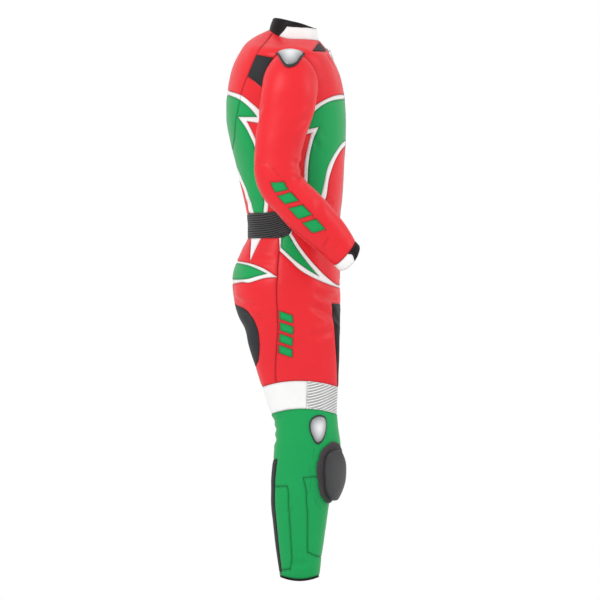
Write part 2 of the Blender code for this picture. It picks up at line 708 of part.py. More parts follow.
def reach_of(outline, centre, angle):
    """Distance from the centre to a closed outline of straight stretches, along an angle."""
    ray = Vector((math.cos(angle), math.sin(angle)))
    best = 0.0
    for k in range(len(outline)):
        a = Vector(outline[k - 1]) - Vector(centre)
        b = Vector(outline[k]) - Vector(centre)
        side = b - a
        below = ray.x * side.y - ray.y * side.x
        if abs(below) < 1e-9:
            continue
        t = (a.x * side.y - a.y * side.x) / below
        u = (a.x * ray.y - a.y * ray.x) / below
        if t > 0 and -1e-6 <= u <= 1 + 1e-6:
            best = max(best, t)
    return best


def over_form(bm, form, scale, outline, lift_of):
    """Lays a round mesh of radius 1 over a form. Its directions become places inside the
    outline, and lift_of(radius, z) gives its height over the form."""
    flat = [(a * scale[0], b * scale[1]) for a, b in outline]
    centre, edge = flat[0], flat[1:]
    for v in bm.verts:
        radius = math.hypot(v.co.x, v.co.y)
        angle = math.atan2(v.co.y, v.co.x)
        reach = reach_of(edge, centre, angle) * radius
        a = (centre[0] + reach * math.cos(angle)) / scale[0]
        b = (centre[1] + reach * math.sin(angle)) / scale[1]
        v.co = form(a, b) + outward(form, a, b) * lift_of(radius, v.co.z)
    face_out(bm)


def cup(form, scale, outline, under, edge, height, around=28, over=10):
    """A domed shell lying on a form: flat underside, an edge of its own, a crown in the middle."""
    bm = bmesh.new()
    bmesh.ops.create_uvsphere(bm, u_segments=around, v_segments=over, radius=1)
    over_form(
        bm, form, scale, outline,
        lambda radius, z: under if z < 0.01 else under + edge + (height - edge) * z,
    )
    return bm


def rim(form, scale, outline, under, height, span, around=28):
    """A rubber rim round a cup; span is its inner and outer edge in shares of the cup's reach."""
    bm = bmesh.new()
    profile = bmesh.ops.create_circle(bm, segments=6, radius=0.5)["verts"]
    for v in profile:
        v.co = Vector((sum(span) / 2 + v.co.x * (span[1] - span[0]), 0, v.co.y))
    edges = list({e for v in profile for e in v.link_edges})
    bmesh.ops.spin(
        bm, geom=profile + edges, axis=(0, 0, 1), cent=(0, 0, 0), steps=around, angle=math.tau, use_merge=True
    )
    over_form(bm, form, scale, outline, lambda radius, z: under + height * (z + 0.5))
    return bm


def add_shoulder_cups():
    shell = cup(sleeve, CUP_SCALE, SHOULDER_CUP, REST_GAP, CUP_EDGE["shoulder"], CUP_CROWN["shoulder"])
    add_pair("shoulder_cup", shell, "silver_cup")
    edge = rim(sleeve, CUP_SCALE, SHOULDER_CUP, REST_GAP, RIM_HEIGHT, RIM_SPAN)
    add_pair("shoulder_rim", edge, "black_rubber")


def add_knee_pieces():
    shell = cup(body, LEG_SCALE, KNEE_CUP, REST_GAP, CUP_EDGE["knee"], CUP_CROWN["knee"], 24, 8)
    add_pair("knee_cup", shell, "silver_cup")
    base = cup(body, LEG_SCALE, SLIDER_BASE, BASE_GAP, CUP_EDGE["base"], BASE_HEIGHT)
    add_pair("slider_base", base, "slider_base")
    under = BASE_GAP + BASE_HEIGHT + SEAM_GAP
    puck = cup(body, LEG_SCALE, SLIDER_PUCK, under, CUP_EDGE["puck"], PUCK_HEIGHT)
    add_pair("slider_puck", puck, "slider_plastic")


# ---------------------------------------------------------------- zip slider and its pull tab


def zip_frame():
    """Frame of the zip slider: X across to the left, Y up the zip, Z out of the chest."""
    place = body(0, SLIDER_LEVEL)
    out = outward(body, 0, SLIDER_LEVEL)
    up = (body(0, SLIDER_LEVEL + 1) - place).normalized()
    out = (out - up * out.dot(up)).normalized()
    across = up.cross(out)
    turn = Matrix((across, up, out)).transposed().to_4x4()
    return Matrix.Translation(place + out * SEAM_GAP) @ turn


def box(size, at):
    bm = bmesh.new()
    bmesh.ops.create_cube(bm, size=1)
    bmesh.ops.scale(bm, vec=size, verts=bm.verts)
    bmesh.ops.translate(bm, vec=at, verts=bm.verts)
    return bm


def rod(radius, length, at, segments=16):
    """A round rod across the zip."""
    bm = bmesh.new()
    bmesh.ops.create_cone(
        bm, cap_ends=True, segments=segments, radius1=radius, radius2=radius, depth=length,
        matrix=Matrix.Translation(at) @ Matrix.Rotation(math.pi / 2, 4, "Y"),
    )
    return bm


def combine(name, slot, frame, first, others):
    """One solid from several shapes in the zip's frame: others are (operation, bmesh)."""
    def placed(bm, label):
        bmesh.ops.transform(bm, matrix=Matrix.Scale(MM, 4) @ frame, verts=bm.verts)
        mesh = bpy.data.meshes.new(label)
        bm.to_mesh(mesh)
        bm.free()
        return bpy.data.objects.new(label, mesh)

    body_object = placed(first, name)
    body_object.data.materials.append(material(slot))
    SUIT.objects.link(body_object)
    for number, (operation, bm) in enumerate(others):
        tool = placed(bm, f"{name}_cutter_{number}")
        CUTTERS.objects.link(tool)
        tool.hide_render = True
        tool.display_type = "WIRE"
        step = body_object.modifiers.new(f"{operation.lower()}_{number}", "BOOLEAN")
        step.operation = operation
        step.object = tool
        step.solver = "EXACT"
    return body_object


def add_zip_slider():
    frame = zip_frame()
    long, wide, high = SLIDER_SIZE
    pin = Vector((0, PIN_PLACE[0], PIN_PLACE[1]))
    ear = (EAR_THICKNESS, EAR_LENGTH, PIN_PLACE[1] + EAR_ABOVE_PIN - high / 2)
    ears = [
        ("UNION", box(ear, (side * (EAR_INSIDE + EAR_THICKNESS / 2), pin.y, high / 2 + ear[2] / 2)))
        for side in (-1, 1)
    ]
    pin_rod = rod(PIN_RADIUS, 2 * (EAR_INSIDE + EAR_THICKNESS - PIN_INSET), pin)
    combine(
        "zip_slider", "zip_metal", frame, box((wide, long, high), (0, 0, high / 2)),
        ears + [("UNION", pin_rod)],
    )
    droop = Matrix.Rotation(math.radians(TAB_DROOP), 4, "X")
    hang = Matrix.Translation(pin) @ droop @ Matrix.Translation(-pin)
    barrel_width = 2 * (EAR_INSIDE - SEAM_GAP)
    neck = box(
        (barrel_width - 2 * NECK_INSET, TAB_NECK, TAB_THICKNESS - NECK_INSET),
        pin - Vector((0, TAB_NECK / 2 + NECK_START, 0)),
    )
    plate = box(
        (TAB_WIDTH, TAB_LENGTH - TAB_NECK, TAB_THICKNESS), pin - Vector((0, (TAB_LENGTH + TAB_NECK) / 2, 0))
    )
    combine(
        "zip_pull", "zip_metal", frame @ hang, rod(BARREL_RADIUS, barrel_width, pin, 20),
        [
            ("UNION", neck),
            ("UNION", plate),
            ("DIFFERENCE", rod(PIN_RADIUS + SEAM_GAP, 2 * barrel_width, pin)),
        ],
    )


# ---------------------------------------------------------------- build

for old in list(bpy.data.objects):
    bpy.data.objects.remove(old, do_unlink=True)

SUIT = bpy.data.collections.new("race_suit")
CUTTERS = bpy.data.collections.new("cutters")
bpy.context.scene.collection.children.link(SUIT)
bpy.context.scene.collection.children.link(CUTTERS)

PAIRED_SLOTS = {
    "front": "red_leather",
    "back_side": "red_leather",
    "shoulder_stretch": "stretch_fabric",
    "front_leg": "red_leather",
    "back_leg": "red_leather",
    "rear_thigh_stretch": "stretch_fabric",
    "inner_thigh": "black_leather",
    "knee_band": "white_leather",
    "knee_accordion": "white_leather",
    "lower_leg": "green_leather",
    "shin_panel": "green_leather",
    "calf_panel": "green_leather",
    "calf_gusset": "stretch_fabric",
    "hem_band": "black_leather",
    "sleeve_outer": "red_leather",
    "sleeve_inner": "red_leather",
    "cuff_black": "black_leather",
    "cuff_tab": "white_leather",
    "collar_white": "white_leather",
}
MIDDLE_SLOTS = {
    "back_centre": ("red_leather", -1),
    "waist_accordion": ("accordion_fabric", -1),
    "collar_black": ("black_leather", -1),
    "front_zip": ("zip_tape", 1),
}

panels = {**body_panels(), **sleeve_panels(), **collar_panels()}
for panel, slot in PAIRED_SLOTS.items():
    wall(panels[panel], LEATHER)
    add_pair(panel, panels[panel], slot)
for panel, (slot, side) in MIDDLE_SLOTS.items():
    add_middle(panel, panels[panel], slot, side)
add_shoulder_cups()
add_knee_pieces()
add_zip_slider()
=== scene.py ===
"""Motorcycle race suit in worn shape with nobody in it: leather panels, stretch panels, hard
cups and sliders, stitching and the front zip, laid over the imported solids.

The forms below are worked out in millimetres and every finished mesh is brought to metres.
A place on a form is two numbers: degrees round it (0 front, 90 outer side, 180 back) and a
height, a ring or a share of the collar. The right half is made and the left one mirrored.
"""
import math
from collections import namedtuple

import bmesh
import bpy
import numpy as np
from mathutils import Matrix, Vector, noise
from mathutils.geometry import delaunay_2d_cdt
from mathutils.kdtree import KDTree


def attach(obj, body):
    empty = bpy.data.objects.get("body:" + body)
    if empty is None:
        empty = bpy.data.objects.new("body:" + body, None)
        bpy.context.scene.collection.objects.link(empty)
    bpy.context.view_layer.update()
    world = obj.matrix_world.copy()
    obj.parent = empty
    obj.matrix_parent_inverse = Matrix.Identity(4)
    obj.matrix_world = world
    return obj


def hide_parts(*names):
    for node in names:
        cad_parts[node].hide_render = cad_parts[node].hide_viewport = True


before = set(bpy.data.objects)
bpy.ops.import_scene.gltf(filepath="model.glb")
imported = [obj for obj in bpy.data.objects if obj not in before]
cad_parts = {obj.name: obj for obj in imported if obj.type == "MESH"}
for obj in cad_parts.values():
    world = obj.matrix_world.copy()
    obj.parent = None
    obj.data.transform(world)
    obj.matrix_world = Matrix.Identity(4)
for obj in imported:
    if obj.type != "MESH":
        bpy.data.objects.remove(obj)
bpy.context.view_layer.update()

MM = 0.001
LEATHER = 2.0
SEAM_GAP = 0.3


# ------------------------------------------------------------------ the forms

CROTCH_TOP = -632.0
LEG_SPLIT_END = -775.0
CROTCH_DEPTH = 70.0
LEG_CENTRE_Y = 100.0
THIGH_GAP = 16.0
THIGH_GAP_END = 60.0
BODY_SQUARENESS = 0.10
LEG_SQUARENESS = 0.03
SLEEVE_SQUARENESS = 0.03
COLLAR_SQUARENESS = 0.05
HEM_DIP = 10.0
NECK_LEVEL = 90.0
ZIP_HALF_WIDTH = 8.0
ZIP_END = -606.0
ARMHOLE = {"angle": 90.0, "level": -98.0, "half_angle": 23.0, "half_level": 85.0, "points": 48}
ABOVE_ARMHOLE = 0.8  # share by which the armhole spreads for one ring above it

# v, front_x, front_z, back_x, back_z, side_x, side_y, side_z
SHOULDER_ROWS = [
    (90, 70, 17, -59, 45, 4, 74, 21),
    (35, 93, -12, -105, 20, -2, 132, 8),
    (-20, 107, -36, -130, -5, -6, 183, -13),
    (-75, 124, -75, -155, -57, -9, 184, -72),
    (-130, 135, -128, -168, -122, -12, 176, -130),
]
# v, front_x, back_x, side_y
LEVEL_ROWS = [
    (-185, 139, -170, 168), (-220, 139, -165, 166), (-260, 138, -157, 163), (-300, 135, -146, 158),
    (-345, 133, -137, 151), (-390, 130, -126, 146), (-435, 125, -117, 144), (-470, 124, -115, 144),
    (-500, 124, -116, 147), (-525, 124, -129, 153), (-555, 124, -142, 163), (-585, 124, -152, 172),
    (-615, 124, -155, 179), (-645, 125, -152, 183), (-672, 125, -147, 185), (-700, 124, -137, 186),
    (-732, 124, -122, 186), (-768, 123, -114, 184), (-805, 122, -103, 181), (-845, 121, -90, 178),
    (-884, 120, -77, 175), (-920, 118, -65, 174), (-955, 117, -53, 173), (-985, 119, -43, 172),
    (-1010, 123, -41, 171), (-1035, 126, -44, 170), (-1062, 124, -47, 169), (-1095, 121, -51, 168),
    (-1125, 117, -54, 167), (-1150, 109, -54, 166), (-1172, 100, -54, 166), (-1195, 95, -53, 165),
    (-1225, 91, -50, 163), (-1270, 84, -45, 159), (-1320, 77, -39, 154), (-1380, 70, -31, 150),
    (-1440, 63, -23, 146),
]
# rear_x, rear_z, front_x, front_z, centre_y, half_y, lift of each ring after the armhole
SLEEVE_RINGS = np.array([
    (-76, -104, 66, -102, 200, 30, 82), (-78, -122, 65, -120, 216, 47, 66),
    (-82, -150, 62, -146, 227, 55, 43), (-86, -186, 53, -180, 231, 56, 18),
    (-93, -225, 41, -216, 235, 56, 4), (-96, -262, 29, -252, 239, 55, 0),
    (-98, -300, 21, -287, 243, 54, 0), (-97, -332, 20, -305, 246, 54, 0),
    (-88, -366, 20, -320, 248, 54, 0), (-68, -402, 25, -336, 249, 53, 0),
    (-40, -431, 40, -353, 249, 52, 0), (-7, -467, 67, -379, 247, 50, 0),
    (26, -497, 97, -411, 243, 48, 0), (59, -526, 125, -445, 239, 45, 0),
    (85, -548, 146, -474, 236, 43, 0), (109, -567, 164, -504, 233, 41, 0),
    (125, -582, 177, -519, 231, 40, 0), (141, -597, 190, -534, 229, 39, 0),
], float)
COLLAR_ROWS = np.array([(70, 17, -59, 45, 4, 74, 21), (64, 50, -49, 75, 8, 66, 66)], float)

BODY_ROWS = np.array(SHOULDER_ROWS + [
    (v, front, v, back, v, (front + back) / 2, side, v) for v, front, back, side in LEVEL_ROWS
], float)
BODY_LEVELS, BODY_ROWS = BODY_ROWS[:, 0], BODY_ROWS[:, 1:]


def unit(vectors):
    """The same vectors at length 1."""
    return vectors / np.maximum(np.linalg.norm(vectors, axis=1, keepdims=True), 1e-9)


def step_lengths(points):
    return np.linalg.norm(np.diff(points, axis=0), axis=1)


def smooth_step(t):
    t = np.clip(t, 0.0, 1.0)
    return t * t * (3 - 2 * t)


def between_rows(rows, number):
    """Values of evenly numbered rows at fractional numbers, on a Catmull-Rom curve."""
    last = len(rows) - 1
    number = np.clip(number, 0, last)
    i = np.minimum(number.astype(int), last - 1)
    t = (number - i)[:, None]
    run = np.vstack([2 * rows[0] - rows[1], rows, 2 * rows[-1] - rows[-2]])
    return curve_step(run[i], run[i + 1], run[i + 2], run[i + 3], t)


def curve_step(a, b, c, d, t):
    """A point of the Catmull-Rom curve from b to c."""
    square, cube = 2 * a - 5 * b + 4 * c - d, 3 * b - a - 3 * c + d
    return 0.5 * (2 * b + (c - a) * t + square * t * t + cube * t ** 3)


def squarish(angle, squareness):
    c, s = np.cos(angle), np.sin(angle)
    return c * (1 + squareness * s * s), s * (1 + squareness * c * c)


def matched(a, b):
    """Two runs of numbers brought to the same length."""
    a, b = np.broadcast_arrays(np.asarray(a, float), np.asarray(b, float))
    return a.ravel(), b.ravel()


def leg_share(v):
    """How far a level lies from the crotch, at 0, to where the legs are apart, at 1."""
    return np.clip((CROTCH_TOP - v) / (CROTCH_TOP - LEG_SPLIT_END), 0, 1)


def body_squareness(v):
    return BODY_SQUARENESS + (LEG_SQUARENESS - BODY_SQUARENESS) * smooth_step(leg_share(v))


def body_row(v):
    return between_rows(BODY_ROWS, np.interp(-v, -BODY_LEVELS, np.arange(len(BODY_LEVELS)))).T


def ring_places(row, angle, c):
    """X, reach to the side and Z of points round a ring of the trunk, the leg or the collar."""
    front_x, front_z, back_x, back_z, side_x, side_y, side_z = row
    x = side_x + (np.where(c >= 0, front_x, back_x) - side_x) * np.abs(c)
    z = side_z + (np.where(c >= 0, front_z, back_z) - side_z) * np.cos(angle) ** 2
    return x, side_y, z


def body(degrees, v):
    """Points of the trunk and the right leg; 270 and -90 are the inseam."""
    degrees, v = matched(degrees, v)
    angle, share = np.radians(degrees), leg_share(v)
    c, s = squarish(angle, body_squareness(v))
    x, side_y, z = ring_places(body_row(v), angle, c)
    centre = LEG_CENTRE_Y * smooth_step(share)
    outer = centre + (side_y - centre) * s
    thigh = centre + (centre - THIGH_GAP) * s
    blend = smooth_step((LEG_SPLIT_END - v) / THIGH_GAP_END)
    opening = centre + (centre - THIGH_GAP * np.sqrt(share)) * s
    inner = (s < 0) & (v <= CROTCH_TOP + 0.01)
    y = np.where(inner, np.where(share < 1, opening, outer * blend + thigh * (1 - blend)), outer)
    z = z + np.where(inner & (share < 1), CROTCH_DEPTH * (1 - share) * np.sin(angle), 0)
    return np.stack((x, -y, z), -1)


def armhole(degrees):
    angle = np.radians(degrees)
    return (
        ARMHOLE["angle"] - ARMHOLE["half_angle"] * np.cos(angle),
        ARMHOLE["level"] + ARMHOLE["half_level"] * np.sin(angle),
    )


def ring_point(number, degrees):
    rear_x, rear_z, front_x, front_z, centre_y, half_y, lift = SLEEVE_RINGS[np.maximum(number, 1) - 1].T
    c, s = squarish(np.radians(degrees), SLEEVE_SQUARENESS)
    ring = np.stack((
        (rear_x + front_x) / 2 + (front_x - rear_x) / 2 * c,
        -centre_y - half_y * s,
        (rear_z + front_z) / 2 + (front_z - rear_z) / 2 * c + lift * s,
    ), -1)
    return np.where((number == 0)[:, None], body(*armhole(degrees)), ring)


def sleeve(degrees, ring):
    """Points of the right sleeve; ring 0 is the armhole and ring 17 its end."""
    degrees, ring = matched(degrees, ring)
    last = len(SLEEVE_RINGS)
    ring = np.clip(ring, 0, last)
    i = np.minimum(ring.astype(int), last - 1)
    b, c = ring_point(i, degrees), ring_point(i + 1, degrees)
    a = np.where((i > 0)[:, None], ring_point(np.maximum(i - 1, 0), degrees), 2 * b - c)
    d = np.where((i + 2 <= last)[:, None], ring_point(np.minimum(i + 2, last), degrees), 2 * c - b)
    return curve_step(a, b, c, d, (ring - i)[:, None])


def collar(degrees, height):
    """Points of the collar, from its seam at height 0 to its edge at 1."""
    degrees, height = matched(degrees, height)
    angle, (low, high) = np.radians(degrees), COLLAR_ROWS
    c, s = squarish(angle, COLLAR_SQUARENESS)
    x, side_y, z = ring_places((low + (high - low) * height[:, None]).T, angle, c)
    return np.stack((x, -side_y * s, z), -1)


def shoulder(degrees, ring):
    """The sleeve, carried on over the trunk above the armhole by rings below 0."""
    degrees, ring = matched(degrees, ring)
    a, v = armhole(degrees)
    spread = 1 - ABOVE_ARMHOLE * np.minimum(ring, 0)
    centre_a, centre_v = ARMHOLE["angle"], ARMHOLE["level"]
    above = body(centre_a + (a - centre_a) * spread, centre_v + (v - centre_v) * spread)
    return np.where((ring < 0)[:, None], above, sleeve(degrees, ring))


# Steps round and down each form for its normals, and flat millimetres per degree and per height.
STEPS = {body: (0.5, -1.0), sleeve: (0.5, 0.05), shoulder: (3.0, 0.4), collar: (0.5, -0.02)}
FLAT = {body: np.array((2.1, 1.0)), sleeve: np.array((1.2, -32.0)), collar: np.array((1.2, 40.0))}


def outward(form, a, b):
    """Unit normals of a form, pointing out."""
    a, b = matched(a, b)
    step_a, step_b = STEPS[form]
    along = form(a + step_a, b) - form(a - step_a, b)
    return unit(np.cross(along, form(a, b + step_b) - form(a, b)))


HALVINGS, ANGLE_ROUNDS = 40, 4


def on_body(points):
    """Places (degrees, v) of the outer side's points that are seen from the side at (x, z)."""
    x, z = np.asarray(points, float).T
    low, high = np.full(len(x), BODY_LEVELS[-1]), np.full(len(x), BODY_LEVELS[0])
    for _ in range(HALVINGS):
        v = (low + high) / 2
        front_x, _, back_x, _, side_x, _, _ = body_row(v)
        reach = np.minimum(1, (x - side_x) / (np.where(x >= side_x, front_x, back_x) - side_x))
        angle = np.arccos(reach)
        for _ in range(ANGLE_ROUNDS):
            angle = np.arccos(np.minimum(1, reach / (1 + body_squareness(v) * np.sin(angle) ** 2)))
        degrees = np.where(x >= side_x, np.degrees(angle), 180 - np.degrees(angle))
        above = body(degrees, v)[:, 2] > z
        high, low = np.where(above, v, high), np.where(above, low, v)
    return np.stack((degrees, v), -1)


# ------------------------------------------------------------------ seams and colour blocks

LINE_STEP = 5.0  # along a seam
CORNER = 0.75  # radians by which a corner turns to stay sharp
SIDE_STEP = 9.0  # along a colour block's edge, seen from the side
CELL = 6.5  # between the points inside a panel
ROWS = (1.2, 3.4)  # extra rows of points beside each seam
KNEE_BAND = (-884.0, -954.0)
KNEE_BAND_RISE = (16.0, 14.0)
KNEE_FOLDS_EDGE = (78.8, 84.4)
HEM_LEVEL, HEM_BAND = -1379.0, 6.0
BELT_TOP = [(-79, -432), (-40, -427)]
BELT_BOTTOM = [(-71, -497), (-27, -496), (-8, -488)]
BELT_BACK, BELT_SIDE = (-435.0, -498.0), (-422.0, -470.0)
STRETCH_CROTCH = -668.0
CUFF_SEAM_RING, SLEEVE_END_RING, CUFF_BULGE, END_BULGE = 16.0, 17.0, 0.35, 0.33
SLEEVE_REAR_SEAM, SLEEVE_FRONT_SEAM = 198.0, -18.0
CUFF_TAB_EDGE = [(84, 0.0), (74, 0.45), (84, 1.0)]
COLLAR_SWAY = 0.12  # share of its height by which the collar is higher behind the ear than before it
COLLAR_PANEL_EDGE = [(126, 0), (117, 0.35), (109, 0.70), (74, 0.68), (43, 0.79), (18, 0.90), (0, 0.92)]

# Colour blocks seen from the side as (x, z) in painter's order, over the red leather.
BODY_BLOCKS = [
    ("white", [
        (-190, -107), (-170, -113), (-132, -126), (-108, -144), (-84, -165), (-76, -176), (-76, -200),
        (-88, -198), (-118, -193), (-96, -238), (-84, -275), (-70, -340), (-62, -407), (-65, -432),
        (-111, -432), (-118, -401), (-126, -372), (-138, -343), (-190, -330),
    ]),
    ("green", [
        (-190, -118), (-169, -124), (-137, -137), (-108, -161), (-91, -182), (-142, -182), (-138, -186),
        (-121, -210), (-108, -235), (-98, -259), (-86, -310), (-78, -360), (-73, -397), (-75, -432),
        (-100, -432), (-108, -404), (-118, -374), (-130, -345), (-144, -310), (-190, -290),
    ]),
    ("white", [
        (170, -124), (134, -124), (114, -126), (87, -137), (61, -152), (45, -163), (36, -180), (28, -215),
        (30, -230), (37, -228), (51, -223), (41, -260), (34, -293), (31, -326), (31, -342), (24, -370),
        (14, -405), (4, -440), (4, -480), (30, -480), (60, -440), (87, -398), (97, -343), (109, -305),
        (120, -282), (138, -257), (170, -240),
    ]),
    ("green", [
        (170, -135), (135, -135), (104, -140), (79, -152), (56, -171), (47, -190), (40, -214), (70, -208),
        (57, -238), (47, -276), (42, -318), (41, -348), (34, -380), (20, -415), (10, -450), (10, -480),
        (24, -480), (50, -440), (76, -385), (86, -346), (92, -318), (104, -291), (120, -265), (139, -242),
        (170, -225),
    ]),
    ("white", [(-107, -497), (-82, -497), (-110, -556)]),
    ("white", [
        (-190, -548), (-143, -556), (-107, -563), (-73, -576), (-38, -598), (-73, -601), (-113, -613),
        (-130, -611), (-155, -616), (-190, -618),
    ]),
    ("green", [
        (-190, -556), (-145, -561), (-107, -570), (-65, -589), (-93, -596), (-118, -603), (-154, -605),
        (-190, -606),
    ]),
    ("white", [
        (-34, -480), (-34, -500), (-32, -530), (-7, -553), (26, -583), (76, -609), (125, -626), (170, -632),
        (170, -628), (125, -622), (93, -600), (59, -566), (26, -526), (-1, -485), (2, -470),
    ]),
    ("green", [
        (-27, -480), (-29, -520), (6, -553), (43, -580), (71, -596), (43, -563), (13, -523), (-7, -490),
        (-14, -480),
    ]),
]
CHEST_INSERT = [
    (17.7, 81.4), (15.9, 38.2), (59.4, -3.7), (55.5, 18), (50, 38.5), (42.5, 57), (31.5, 71.5), (17.7, 81.4),
]
BLOCK_PANELS = ("front", "back_side", "back_centre", "front_leg", "back_leg", "sleeve_outer")


def smooth_line(points, step, closed=False):
    """Points at even steps on a rounded curve through the given ones."""
    points = np.asarray(points, float)
    if closed:
        run = np.vstack([points[-1], points, points[0], points[1]])
    else:
        run = np.vstack([2 * points[0] - points[1], points, 2 * points[-1] - points[-2]])
    out = []
    for a, b, c, d in zip(run, run[1:], run[2:], run[3:]):
        count = max(1, round(float(np.linalg.norm(c - b)) / step))
        out.append(curve_step(a, b, c, d, (np.arange(count) / count)[:, None]))
    return np.vstack(out if closed else [*out, points[-1:]])


def bent_line(form, points, step, closed=False):
    """Places at even steps, in millimetres on the form, along a rounded line."""
    return smooth_line(np.array(points, float) * FLAT[form], step, closed) / FLAT[form]


def curved_shape(shape, step):
    """A closed shape with its runs of gentle bends rounded and its sharp corners kept."""
    shape = np.asarray(shape, float)
    before, after = shape - np.roll(shape, 1, axis=0), np.roll(shape, -1, axis=0) - shape
    across = before[:, 0] * after[:, 1] - before[:, 1] * after[:, 0]
    corners = np.flatnonzero(np.abs(np.arctan2(across, (before * after).sum(1))) > CORNER)
    if len(corners) < 2:
        return smooth_line(shape, step, closed=True)
    shape = np.roll(shape, -corners[0], axis=0)
    corners = [*(corners - corners[0]), len(shape)]
    shape = np.vstack((shape, shape[:1]))
    runs = [smooth_line(shape[a:b + 1], step) for a, b in zip(corners, corners[1:])]
    return np.vstack([runs[0], *[run[1:] for run in runs[1:]]])


def knee_edge(which, degrees):
    return KNEE_BAND[which] + KNEE_BAND_RISE[which] * np.sin(np.radians(degrees)) ** 2


def hem_edge(degrees, up=0.0):
    return HEM_LEVEL - HEM_DIP * np.sin(np.radians(degrees)) ** 2 + up


def zip_edge(v):
    side_y = body_row(np.array([v], float))[5][0]
    return math.degrees(math.asin(ZIP_HALF_WIDTH / side_y) / (1 + BODY_SQUARENESS))


def seen(points):
    return on_body(points).tolist()


BELT_EDGES = [
    [(180, back), *seen(edge), (90, side)]
    for back, edge, side in zip(BELT_BACK, (BELT_TOP, BELT_BOTTOM), BELT_SIDE)
]


def slanted_bars(corners, count, gap, lean):
    """Slanted bars filling a four-cornered place; each reaches from one long side to the other."""
    a, b, c, d = (np.array(p, float) for p in corners)
    bars = []
    for k in range(count):
        low, high = (k + gap) / count, (k + 1 - gap) / count
        bars.append(np.array([
            a + (d - a) * low, a + (d - a) * high,
            b + (c - b) * min(1.0, high + lean), b + (c - b) * min(1.0, low + lean),
            a + (d - a) * low,
        ]))
    return bars


THIGH_BARS = slanted_bars([(86.1, -694), (100.4, -694), (112.9, -812), (94.6, -812)], 4, 0.14, -0.10)
SLEEVE_BARS = slanted_bars([(80, 9.3), (113, 9.3), (119, 13.9), (85, 13.9)], 4, 0.14, -0.10)


def cuff_place(degrees, share):
    """A place on the cuff, by share of the way from its seam to the end of the sleeve."""
    side = math.sin(math.radians(degrees))
    bulge = CUFF_BULGE * side + share * END_BULGE * max(side, 0) ** 2
    return degrees, CUFF_SEAM_RING + share * (SLEEVE_END_RING - CUFF_SEAM_RING) + bulge


# ------------------------------------------------------------------ lines and rows on the forms

WAIST_RIB_PITCH = 5.73
WAIST_RIB_CLIMB, WAIST_CLIMB_FROM, WAIST_CLIMB_RUN, WAIST_CLIMB_POWER = 14.0, 118.0, 28.0, 1.6
KNEE_RIB_PITCH = 7.2
KNEE_RIB_CLIMB, KNEE_RIB_TOP = 30.0, 2.0
RIB_ROWS = 6  # rows of points to a rib
ROW_PITCH = CELL * 0.87


class Near:
    """Distances to a cloud of points on the form."""

    def __init__(self, points):
        self.tree = KDTree(len(points))
        for k, p in enumerate(points):
            self.tree.insert(p, k)
        self.tree.balance()

    def find(self, points):
        found = [self.tree.find(p)[1:] for p in points]
        return np.array([f[1] for f in found]), np.array([f[0] for f in found], int)

    def distance(self, points):
        return self.find(points)[0]


def inside(places, shape):
    """Which places lie within a closed shape."""
    x, y = places.T
    hit = np.zeros(len(places), bool)
    for (ax, ay), (bx, by) in zip(shape, np.roll(shape, -1, axis=0)):
        if ay != by:
            hit ^= ((ay > y) != (by > y)) & (x < ax + (y - ay) * (bx - ax) / (by - ay))
    return hit


def divided(form, line, step):
    """The same line with points at about this step on the form."""
    out = [np.array(line[0], float)[None]]
    for a, b in zip(line, line[1:]):
        a, b = np.array(a, float), np.array(b, float)
        length = float(step_lengths(form(*(a + (b - a) * np.linspace(0, 1, 9)[:, None]).T)).sum())
        count = max(1, round(length / step))
        out.append(a + (b - a) * (np.arange(1, count + 1) / count)[:, None])
    return np.vstack(out)


def cloud(form, lines):
    """Distances to the points that lie along some lines."""
    return Near(np.vstack([form(*divided(form, line, 1.0).T) for line in lines]))


def slopes(form, places):
    """Change of the point for a step round and for a step down the form."""
    a, b = places.T
    step_a, step_b = (abs(step) * 0.4 for step in STEPS[form])
    round_it = (form(a + step_a, b) - form(a - step_a, b)) / (2 * step_a)
    down_it = (form(a, b + step_b) - form(a, b - step_b)) / (2 * step_b)
    return round_it, down_it


def shifted(form, line, distance):
    """Places at a distance beside a line, measured on the form."""
    along = np.gradient(form(*line.T), axis=0)
    side = unit(np.cross(outward(form, *line.T), along))
    u, v = slopes(form, line)
    uu, uv, vv = (u * u).sum(1), (u * v).sum(1), (v * v).sum(1)
    su, sv = (side * u).sum(1), (side * v).sum(1)
    det = np.maximum(uu * vv - uv * uv, 1e-9)
    return line + distance * np.stack(((su * vv - sv * uv) / det, (sv * uu - su * uv) / det), -1)


def waist_rib(places):
    """Rib number at a place, and whether the place is on the belt."""
    a, v = places.T
    top, bottom = (np.array(line)[::-1].T for line in BELT_EDGES)
    high, low = np.interp(a, *top), np.interp(a, *bottom)
    climb = WAIST_RIB_CLIMB * np.clip((WAIST_CLIMB_FROM - a) / WAIST_CLIMB_RUN, 0, 1) ** WAIST_CLIMB_POWER
    return (high + climb - v) / WAIST_RIB_PITCH, (a > 90) & (v < high) & (v > low)


def knee_rib(places):
    a, v = places.T
    climb = KNEE_RIB_CLIMB * np.cos(np.radians(a - KNEE_RIB_TOP)) ** 2
    number = (knee_edge(0, KNEE_FOLDS_EDGE[0]) + climb - v) / KNEE_RIB_PITCH
    share = (knee_edge(0, a) - v) / (knee_edge(0, a) - knee_edge(1, a))
    on_it = (a > -90) & (a < np.interp(share, (0, 1), KNEE_FOLDS_EDGE)) & (share > 0) & (share < 1)
    return number, on_it


def rib_fill(rib_of, angles, low, high):
    """Points in rows along the ribs of an accordion panel."""
    fine = np.arange(low, high, 0.1)
    out = []
    for a in angles:
        column = np.stack((np.full(len(fine), a), fine), -1)
        rows = rib_of(column)[0] * RIB_ROWS
        wanted = np.arange(math.ceil(rows.min()), math.floor(rows.max()) + 1)
        out.append(np.stack((np.full(len(wanted), a), np.interp(wanted, rows[::-1], fine[::-1])), -1))
    out = np.vstack(out)
    return out[rib_of(out)[1]]


